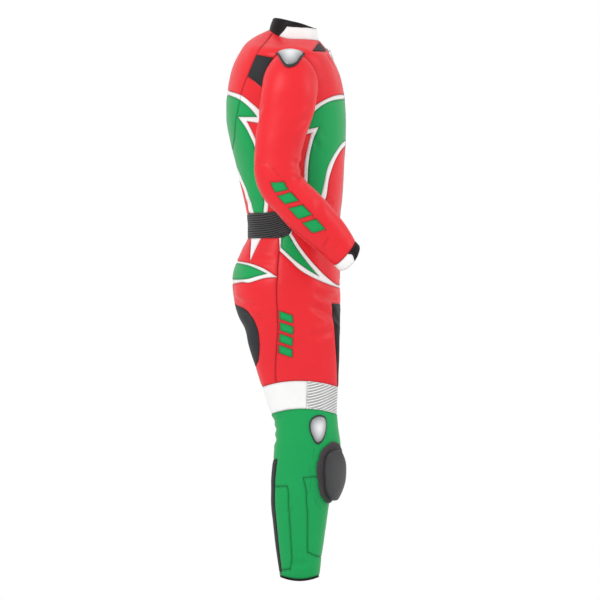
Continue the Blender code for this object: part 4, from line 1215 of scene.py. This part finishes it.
def ribbed_leather(name, colour, groove, roughness):
    """Accordion leather with painted shade that darkens its grooves, and fine grain over the ribs."""
    paint = Paint(name, specular_ior_level=0.35)
    place, deep, flesh = paint.place(), paint.attribute("groove"), paint.attribute("inside")
    broad, fine = paint.noise(place, 12.0, 3.0), paint.noise(place, 300.0, 3.0, 0.6)
    # painted shade: the groove colour is mixed in by how deep in a groove the point lies
    shade = paint.mix((deep * 1.1).clamp(), paint.toned(broad, colour, 0.9, 1.06), groove)
    shade = paint.mix(flesh, shade, tinted(colour, 0.5))
    paint.feed(Base_Color=shade, Roughness=(roughness - 0.05) + fine * 0.12)
    paint.bump(fine + paint.cells(place, 800.0) * 0.5, 0.25, 0.0003)


def hard(name, colour, edge, roughness, metallic, streaks=0.0):
    """A moulded piece with painted shade that darkens it towards its edge, and fine scratches."""
    paint = Paint(name, metallic=metallic)
    place, reach = paint.place(), paint.attribute("reach")
    tone = paint.noise(place, 60.0, 5.0, 0.65)
    scratch = paint.streaks(place, (30.0, 30.0, 420.0), 6.0, 4.0, 0.7)
    # painted shade: the colour darkens from the middle towards the edge
    shade = paint.mix((reach ** 1.4).clamp(), colour, edge)
    shade = paint.mix(((scratch - 0.58) * 6.0).clamp() * streaks, shade, tinted(colour, 1.9))
    paint.feed(Base_Color=shade, Roughness=(roughness - 0.07) + tone * 0.14 + scratch * 0.06)
    paint.bump(tone + scratch * 0.5, 0.12, 0.0003)


def rubber(name, colour, roughness=0.62):
    paint = Paint(name, specular_ior_level=0.35)
    place = paint.place()
    grain, tone = paint.noise(place, 900.0, 3.0, 0.6), paint.noise(place, 25.0, 3.0)
    paint.feed(
        Base_Color=paint.toned(tone, colour, 0.75, 1.6), Roughness=(roughness - 0.1) + tone * 0.2,
    )
    paint.bump(grain, 0.3, 0.0003)


def pile(name, colour, light):
    """A brush of fine loops."""
    paint = Paint(name, sheen_weight=0.12, sheen_roughness=0.4, roughness=0.9, specular_ior_level=0.1)
    place = paint.place()
    loops = paint.cells(place, 900.0)
    tone = paint.noise(place, 40.0, 4.0, 0.7)
    paint.feed(Base_Color=paint.mix((loops * 0.6 + tone * 0.5).clamp(), colour, light))
    paint.bump(loops, 0.8, 0.0008)


def metal(name, colour, roughness):
    """Plated metal, brushed along Z."""
    paint = Paint(name, metallic=1.0)
    place = paint.place()
    brushed = paint.streaks(place, (1.0, 1.0, 30.0), 220.0, 3.0)
    tone = paint.noise(place, 90.0, 4.0)
    paint.feed(
        Base_Color=paint.toned(tone, colour, 0.82, 1.08), Roughness=(roughness - 0.08) + brushed * 0.18,
    )
    paint.bump(brushed, 0.06, 0.0002)


RED, GREEN = (0.68, 0.014, 0.022), (0.0, 0.295, 0.072)
WHITE, BLACK = (0.76, 0.76, 0.755), (0.009, 0.0065, 0.007)
THREADS = {
    "red": (0.42, 0.018, 0.024), "green": (0.0, 0.17, 0.045), "white": (0.60, 0.59, 0.58),
    "black": (0.045, 0.043, 0.043),
}
# the third value of each leather is the share of its colour left in the painted seam shade
leather("red_leather", RED, 0.32)
leather("green_leather", GREEN, 0.4)
leather("white_leather", WHITE, 0.55, inner=(0.42, 0.40, 0.38))
leather("black_leather", BLACK, 0.4, 0.5, inner=(0.03, 0.028, 0.027), shine=0.1)
woven("stretch_fabric", (0.012, 0.013, 0.0145), (0.036, 0.038, 0.040), 0.0026, True)
# the third colour of each ribbed leather is the painted shade in its grooves
ribbed_leather("accordion_fabric", (0.040, 0.040, 0.041), (0.006, 0.006, 0.006), 0.6)
ribbed_leather("knee_ribs", WHITE, (0.17, 0.163, 0.172), 0.46)
# the second colour of a hard piece is the painted shade at its edge
hard("silver_cup", (0.72, 0.72, 0.73), (0.15, 0.16, 0.167), 0.3, 0.15)
rubber("black_rubber", (0.016, 0.019, 0.018))
# the second colour is the painted shade at the slider's edge
hard("slider_plastic", (0.039, 0.039, 0.042), (0.019, 0.019, 0.021), 0.5, 0.0, 0.3)
pile("slider_base", (0.034, 0.028, 0.031), (0.075, 0.066, 0.07))
woven("zip_tape", (0.012, 0.012, 0.013), (0.03, 0.03, 0.032), 0.0012, False, 0.8, 0.3)
metal("zip_metal", (0.62, 0.62, 0.64), 0.3)
for thread, colour in THREADS.items():
    rubber("thread_" + thread, colour, 0.7)


# ------------------------------------------------------------------ the cloth pieces

PIECES = bpy.data.collections.new("race_suit")
bpy.context.scene.collection.children.link(PIECES)

# Each panel's form and a place inside it, its slot, how it is held and the panel it rests on.
Panel = namedtuple("Panel", "form seed slot held above", defaults=("hung", "collar_black"))
PANELS = {
    "front": Panel(body, (40, -250), "red_leather", above="shoulder_stretch"),
    "back_side": Panel(body, (130, -300), "red_leather", above="back_centre"),
    "back_centre": Panel(body, (172, -120), "red_leather"),
    "shoulder_stretch": Panel(body, seen([(-90, -60)])[0], "stretch_fabric", "stretched"),
    "waist_accordion": Panel(body, (140, -465), "accordion_fabric", "gathered", "back_side"),
    "front_zip": Panel(body, (0.5, -200), "zip_tape", above="front"),
    "front_leg": Panel(body, (60, -600), "red_leather", above="front"),
    "back_leg": Panel(body, (140, -600), "red_leather", above="waist_accordion"),
    "rear_thigh_stretch": Panel(body, (200, -750), "stretch_fabric", "stretched"),
    "inner_thigh": Panel(body, (-45, -750), "black_leather"),
    "knee_band": Panel(body, (180, -920), "white_leather", above="back_leg"),
    "knee_accordion": Panel(body, (0, -920), "white_leather", "gathered"),
    "lower_leg": Panel(body, (90, -1050), "green_leather", above="knee_band"),
    "shin_panel": Panel(body, (20, -1220), "green_leather"),
    "calf_panel": Panel(body, (135, -1250), "green_leather"),
    "calf_gusset": Panel(body, (180, -1250), "stretch_fabric", "stretched"),
    "hem_band": Panel(body, (100, float(hem_edge(100, HEM_BAND / 2))), "black_leather", above="lower_leg"),
    "sleeve_outer": Panel(sleeve, (90, 8), "red_leather", above="front"),
    "sleeve_inner": Panel(sleeve, (-90, 8), "red_leather", above="front"),
    "cuff_black": Panel(sleeve, (-60, 16.4), "black_leather", above="sleeve_inner"),
    "cuff_tab": Panel(sleeve, (120, 16.8), "white_leather", above="sleeve_outer"),
    "collar_black": Panel(collar, (160, 0.5), "black_leather", "stretched"),
    "collar_white": Panel(collar, (60, 0.3), "white_leather", "stretched"),
}


BOX_TOP = (0.72, 0.6, 1.0)  # how far a stitch or a tooth narrows


def unit_box():
    """Corners and faces of a small box that narrows upwards, a unit long, wide and high."""
    bm = bmesh.new()
    bmesh.ops.create_cube(bm, size=1)
    for v in bm.verts:
        if v.co.z > 0:
            v.co *= Vector(BOX_TOP)
    corners = np.array([v.co for v in bm.verts], float)
    faces = [[v.index for v in f.verts] for f in bm.faces]
    bm.free()
    return corners, faces


def scattered(name, spots, along, out, size, paint, both_sides=True):
    """One mesh of many small boxes, each at a spot in millimetres with its own two directions."""
    corners, faces = unit_box()
    along = unit(along)
    side = unit(np.cross(out, along))
    turn = np.stack((along, side, np.cross(along, side)), 1)
    points = (spots[:, None] + (corners * size) @ turn).reshape(-1, 3)
    count = len(spots)
    index = (np.array(faces)[None] + len(corners) * np.arange(count)[:, None, None]).reshape(-1, 4)
    if both_sides:
        points = np.vstack((points, points * (1, -1, 1)))
        index = np.vstack((index, index[:, ::-1] + len(corners) * count))
    mesh = bpy.data.meshes.new(name)
    mesh.from_pydata((points * MM).tolist(), [], index.tolist())
    add_piece(name, mesh, paint)


# ------------------------------------------------------------------ stitching

Stitch = namedtuple("Stitch", "size pitch beside lift")
SEAM_STITCH = Stitch((2.9, 0.9, 0.75), 4.4, 3.3, 0.12)
TOP_STITCH = Stitch((3.4, 1.1, 1.1), 6.2, 0.0, 0.3)
STITCH_ROOM = (2.6, SEAM_STITCH.beside + 0.6)  # nearest and farthest to a seam
THREAD_SPOTS = {}


def thread_for(panel, colour):
    """The thread that a piece is sewn with; none on accordion leather and outside the panels."""
    stuff = colour or (PANELS[panel].slot.split("_")[0] if panel else "")
    return {"stretch": "black", "zip": "black", "accordion": ""}.get(stuff, stuff)


class Surface:
    """The finished leather of a cut: its height and its thread at any place."""

    def __init__(self, cut, height, outline):
        self.cut, self.height, self.outline = cut, height, np.array(outline, float)
        self.points = Near(cut.points)
        self.centres = Near(self.flat(cut.places[cut.triangles].mean(1)))

    def flat(self, places):
        return np.column_stack((places * FLAT[self.cut.form], np.zeros(len(places))))

    def threads(self, places):
        which = self.centres.find(self.flat(places))[1]
        return np.array([thread_for(*pair) for pair in zip(self.cut.panel[which], self.cut.colour[which])])

    def laid(self, places, lift):
        """Points at a lift over the leather."""
        points = self.cut.form(*places.T)
        which = self.points.find(points)[1]
        return points + outward(self.cut.form, *places.T) * (self.height[which] + lift)[:, None]


def sew(surface, lines, stitch):
    """Lays stitches along both sides of seams, or on the lines themselves, by colour of thread."""
    form = surface.cut.form
    for line in lines:
        run = divided(form, line, stitch.pitch)
        run = (run[1:] + run[:-1]) / 2
        if len(run) < 3:
            continue
        for side in ((-1, 1) if stitch.beside else (0,)):
            row = shifted(form, run, side * stitch.beside) if stitch.beside else run
            points = form(*row.T)
            names, good = surface.threads(row), inside(row, surface.outline)
            if stitch.beside:
                near = surface.cut.near.distance(points)
                good &= (near > STITCH_ROOM[0]) & (near < STITCH_ROOM[1])
            laid = surface.laid(row, stitch.lift)
            along, out = np.gradient(points, axis=0), outward(form, *row.T)
            for name in THREADS:
                chosen = good & (names == name)
                found = THREAD_SPOTS.setdefault((name, stitch.size), [])
                found.append((laid[chosen], along[chosen], out[chosen]))


def add_threads():
    for number, ((name, size), found) in enumerate(sorted(THREAD_SPOTS.items())):
        spots, along, out = (np.vstack(column) for column in zip(*found))
        if len(spots):
            label = f"stitching_{name}_{number}"
            scattered(label, spots, along, out, size, "thread_" + name)


SHEETS = []


def make_pieces(plan):
    """Cuts a form into its pieces of leather and lays the stitches on them."""
    cut = cut_form(plan)
    raised = heights(cut)
    surface = Surface(cut, raised.whole + raised.face, plan.outline)
    sew(surface, plan.seams + plan.hems + [shape for _, shape in plan.blocks], SEAM_STITCH)
    sew(surface, plan.decorative, TOP_STITCH)
    if cut.form is not body:
        tuck_under(cut)
    for name, panel in PANELS.items():
        middle = name in MIDDLE
        for colour in sorted(set(cut.colour[cut.panel == name])):
            members = (cut.panel == name) & (cut.colour == colour)
            slot_name = colour + "_leather" if colour else panel.slot
            paint = "knee_ribs" if name == "knee_accordion" else slot_name
            label = name + "_" + slot_name.split("_")[0]
            bm = leather_bm(cut, members, raised, middle)
            wide, long, area = flat_size(cut, members)
            if middle:
                join_halves(bm)
                made = [finish_mesh(label, bm, paint, name)]
                wide, area = 2 * wide, 2 * area
            else:
                made = finish_pair(label, bm, paint, name)
            SHEETS.extend((piece, (wide, long), area, panel) for piece in made)


for make_plan in (body_plan, sleeve_plan, collar_plan):
    make_pieces(make_plan())
add_threads()
for piece, flat, area, panel in SHEETS:
    above = panel.above
    if above not in MIDDLE:
        above += "_L" if piece.name.endswith("_left") else "_R"


# ------------------------------------------------------------------ hard pieces

# Flat millimetres per degree and per height under the hard pieces.
LAID_OUT = {shoulder: (1.19, -48.0), body: (1.5, 1.0)}
RIM_SINK = 0.7
RIM_SINKS_FROM, RIM_SINK_RUN = 0.68, 0.08  # by sine of the angle
SLIDER_NOTCHES = seen([(72, -1072), (67, -1130), (81, -1177)])
NOTCH_DEPTH, NOTCH_WIDTH = 0.10, 0.045


def over_form(bm, form, shape, lift_of, notches=()):
    """Lays a round mesh of radius 1 over a form; lift_of(radius, z, angle) is its height there."""
    scale = LAID_OUT[form]
    flat = np.array(shape, float) * scale
    centre, away = flat[0], smooth_line(flat[1:], 2.0, closed=True) - flat[0]
    edge = np.arctan2(away[:, 1], away[:, 0]) % math.tau, np.linalg.norm(away, axis=1)
    # reach from the middle, 0, to the edge, 1, which sets the painted shade of a hard piece
    layer = bm.verts.layers.float.new("reach")
    co = np.array([v.co for v in bm.verts], float)
    radius, angle = np.hypot(co[:, 0], co[:, 1]), np.arctan2(co[:, 1], co[:, 0]) % math.tau
    reach = np.interp(angle, *edge, period=math.tau) * radius
    for x, y in notches:
        at = math.atan2(y * scale[1] - centre[1], x * scale[0] - centre[0])
        off = (angle - at + math.pi) % math.tau - math.pi
        reach *= 1 - NOTCH_DEPTH * np.exp(-(off / NOTCH_WIDTH) ** 2) * np.clip(radius * 6 - 5, 0, 1)
    a = (centre[0] + reach * np.cos(angle)) / scale[0]
    b = (centre[1] + reach * np.sin(angle)) / scale[1]
    laid = form(a, b) + outward(form, a, b) * lift_of(radius, co[:, 2], angle)[:, None]
    for v, p, r in zip(bm.verts, laid.tolist(), radius.tolist()):
        v.co = p
        v[layer] = min(1.0, r)
    face_out(bm)
    return bm


def cup(form, shape, under, edge, height, notches=(), around=96, edge_share=0.2):
    """A closed cap over a form."""
    bm = bmesh.new()
    bmesh.ops.create_uvsphere(bm, u_segments=around, v_segments=40, radius=1)

    def lift(radius, z, angle):
        rise = edge * np.sqrt(np.clip(z / edge_share, 0, 1)) + (height - edge) * np.clip(z, 0, 1)
        return under + np.where(z < 0.01, 0.0, rise)

    return over_form(bm, form, shape, lift, notches)


def rim(form, shape, under, height, span, top_sinks=0.0):
    """A rubber rim round a cup, which may run under the leather along its upper edge."""
    bm = bmesh.new()
    profile = bmesh.ops.create_circle(bm, segments=12, radius=0.5)["verts"]
    for v in profile:
        v.co = Vector((sum(span) / 2 + v.co.x * (span[1] - span[0]), 0, v.co.y))
    bmesh.ops.spin(
        bm, geom=profile + edges_of(profile), axis=(0, 0, 1), cent=(0, 0, 0), steps=96, angle=math.tau,
        use_merge=True,
    )

    def lift(radius, z, angle):
        sunk = top_sinks * smooth_step((np.sin(angle) - RIM_SINKS_FROM) / RIM_SINK_RUN)
        return (under + height * (z + 0.5)) * (1 - sunk) - RIM_SINK * sunk

    return over_form(bm, form, shape, lift)


# Name, stuff, replaced nodes and mesh; a cup has the heights of its underside, edge and middle.
HARD_PIECES = [
    ("shoulder_cup_shell", "silver_cup", "shoulder_cup",
     cup(shoulder, SHOULDER_CUP, 0.6, 2.5, 8.0, around=192)),
    ("shoulder_cup_rim", "black_rubber", "shoulder_rim",
     rim(shoulder, SHOULDER_CUP, 0.5, 4.2, (0.97, 1.16), 1.0)),
    ("knee_cup_shell", "silver_cup", "knee_cup", cup(body, KNEE_CUP, 0.6, 2.0, 7.0)),
    ("knee_cup_rim", "black_rubber", "", rim(body, KNEE_CUP, 0.3, 2.8, (0.96, 1.13))),
    ("slider_pad", "slider_base", "slider_base", cup(body, SLIDER_BASE, 1.5, 6.0, 7.0, SLIDER_NOTCHES)),
    ("slider_block", "slider_plastic", "slider_puck",
     cup(body, SLIDER_PUCK, 8.8, 12.0, 17.0, edge_share=0.3)),
]
for name, stuff, node, bm in HARD_PIECES:
    finish_pair(name, bm, stuff, node, HARD_CORNER)


# ------------------------------------------------------------------ the front zip

SLIDER_LEVEL = 40.0
PIN_Y, PIN_Z = -4.0, 5.8
TAB_DROOP = 14.0
TOOTH_PITCH = 2.6
TOOTH = (1.5, 3.0, 1.7)
TOOTH_LIFT = 0.55
# Half the way between the rows of teeth, what parting adds to it, and where over the slider.
CLOSED, PARTED, PART_FROM, PART_RUN = 0.75, 2.6, 4.0, 30.0
# Size, place, rounding and narrowing of the blocks that make the slider and its pull tab.
SLIDER_BLOCKS = [
    ((9.0, 13.0, 1.3), (0, 0, 0.65), 0.5, 0.7),
    ((8.4, 12.4, 1.3), (0, 0, 2.75), 0.55, 0.66),
    ((3.0, 9.0, 1.4), (0, 1.0, 1.7), 0.3, 1.0),
    *[((1.3, 3.2, 5.4), (x, PIN_Y, 4.1), 0.45, 1.0) for x in (-2.75, 2.75)],
]
TAB_BLOCKS = [
    ((3.2, 5.4, 1.4), (0, -3.8, 0), 0.4, 1.0),
    ((7.0, 20.0, 1.6), (0, -15.0, 0), 0.6, 0.86),
    *[((4.4, 0.9, 2.0), (0, -12.0 - 2.6 * k, 0), 0.3, 1.0) for k in range(4)],
]


def add_zip_teeth():
    levels = np.arange(ZIP_END + 6, NECK_LEVEL - 4, TOOTH_PITCH)
    middle = np.zeros(len(levels))
    spots, out = body(middle, levels), outward(body, middle, levels)
    along = unit(np.gradient(spots, axis=0))
    spots = spots + out * TOOTH_LIFT
    spots[:, 1] -= CLOSED + PARTED * smooth_step((levels - SLIDER_LEVEL - PART_FROM) / PART_RUN)
    for name, side, onward in (("zip_teeth_right", 1, 0.0), ("zip_teeth_left", -1, TOOTH_PITCH / 2)):
        row = (spots + along * onward) * (1, side, 1)
        scattered(name, row, along, out, TOOTH, "zip_metal", False)


def zip_frame():
    """Frame of the zip slider: X across, Y up the zip, Z out of the chest."""
    place, above = (Vector(p) for p in body(0, (SLIDER_LEVEL, SLIDER_LEVEL + 1)))
    out, up = Vector(outward(body, 0, SLIDER_LEVEL)[0]), (above - place).normalized()
    out = (out - up * out.dot(up)).normalized()
    turn = Matrix((up.cross(out), up, out)).transposed().to_4x4()
    return Matrix.Translation(place + out * SEAM_GAP) @ turn


def rounded_box(bm, size, at, edge, taper=1.0):
    made = bmesh.ops.create_cube(bm, size=1)["verts"]
    for v in made:
        narrow = taper if v.co.y < 0 else 1
        v.co = Vector((v.co.x * size[0] * narrow, v.co.y * size[1], v.co.z * size[2])) + Vector(at)
    bmesh.ops.bevel(
        bm, geom=edges_of(made), offset=edge, affect="EDGES", segments=3, profile=0.5, material=-1
    )


def rod(bm, radius, length, at):
    """A rod across the zip with softened ends."""
    made = bmesh.ops.create_cone(
        bm, cap_ends=True, segments=32, radius1=radius, radius2=radius, depth=length,
        matrix=Matrix.Translation(at) @ Matrix.Rotation(math.pi / 2, 4, "Y"),
    )["verts"]
    caps = {f for v in made for f in v.link_faces if len(f.verts) > 4}
    ends = [e for e in edges_of(made) if caps.intersection(e.link_faces)]
    bmesh.ops.bevel(bm, geom=ends, offset=0.2, affect="EDGES", segments=2, profile=0.5, material=-1)


def add_zip_slider():
    """The slider on the suit, and the pull tab that swings on the pin in it."""
    slider_frame, pin = zip_frame(), Vector((0, PIN_Y, PIN_Z))
    bm = bmesh.new()
    for block in SLIDER_BLOCKS:
        rounded_box(bm, *block)
    rod(bm, 0.7, 6.4, pin)
    bmesh.ops.transform(bm, matrix=slider_frame, verts=bm.verts)
    finish_mesh("zip_slider_body", bm, "zip_metal", "zip_slider", METAL_CORNER)
    bm = bmesh.new()
    rod(bm, 1.9, 3.6, Vector())
    for block in TAB_BLOCKS:
        rounded_box(bm, *block)
    hang = Matrix.Translation(pin) @ Matrix.Rotation(math.radians(TAB_DROOP), 4, "X")
    bmesh.ops.transform(bm, matrix=slider_frame @ hang, verts=bm.verts)
    finish_mesh("zip_pull_plate", bm, "zip_metal", "zip_pull", METAL_CORNER, "zip_pull_tab")


add_zip_teeth()
add_zip_slider()


# ------------------------------------------------------------------ stage

FLOOR_LEVEL, FLOOR_WIDTH = -1.396, 12.0
# Name, place, target, width and power.
LIGHTS = [
    ("key", (-1.7, -2.4, 1.5), (0.02, -0.1, -0.55), 0.9, 44.0),
    ("front", (2.6, -0.6, 0.6), (0.0, 0.0, -0.7), 1.2, 16.0),
]
CAMERA_PLACE, VIEW_WIDTH = (0.0208, -3.0, -0.6578), 1.56


def add_to_stage(name, data, place):
    made = bpy.data.objects.new(name, data)
    made.location = place
    bpy.context.scene.collection.objects.link(made)
    return made


bm = bmesh.new()
bmesh.ops.create_grid(bm, x_segments=1, y_segments=1, size=FLOOR_WIDTH / 2)
floor_mesh = bpy.data.meshes.new("floor")
bm.to_mesh(floor_mesh)
bm.free()
Paint("studio_floor", base_color=(0.93, 0.93, 0.93, 1.0), roughness=0.9, specular_ior_level=0.1)
floor_mesh.materials.append(MATERIALS["studio_floor"])
add_to_stage("floor", floor_mesh, (0, 0, FLOOR_LEVEL))

world = bpy.data.worlds.new("studio")
world.use_nodes = True
world.node_tree.nodes["Background"].inputs["Color"].default_value = (1.0, 1.0, 1.0, 1.0)
world.node_tree.nodes["Background"].inputs["Strength"].default_value = 1.0
bpy.context.scene.world = world
for name, place, target, width, power in LIGHTS:
    light = bpy.data.lights.new(name, "AREA")
    light.shape, light.size, light.energy = "DISK", width, power
    lamp = add_to_stage(name, light, place)
    lamp.rotation_euler = (Vector(target) - Vector(place)).to_track_quat("-Z", "Y").to_euler()

camera = bpy.data.cameras.new("camera")
camera.type = "ORTHO"
camera.ortho_scale = VIEW_WIDTH
bpy.context.scene.camera = add_to_stage("camera", camera, CAMERA_PLACE)
bpy.context.scene.camera.rotation_euler = (math.radians(90), 0, 0)
bpy.context.scene.view_settings.view_transform = "Standard"
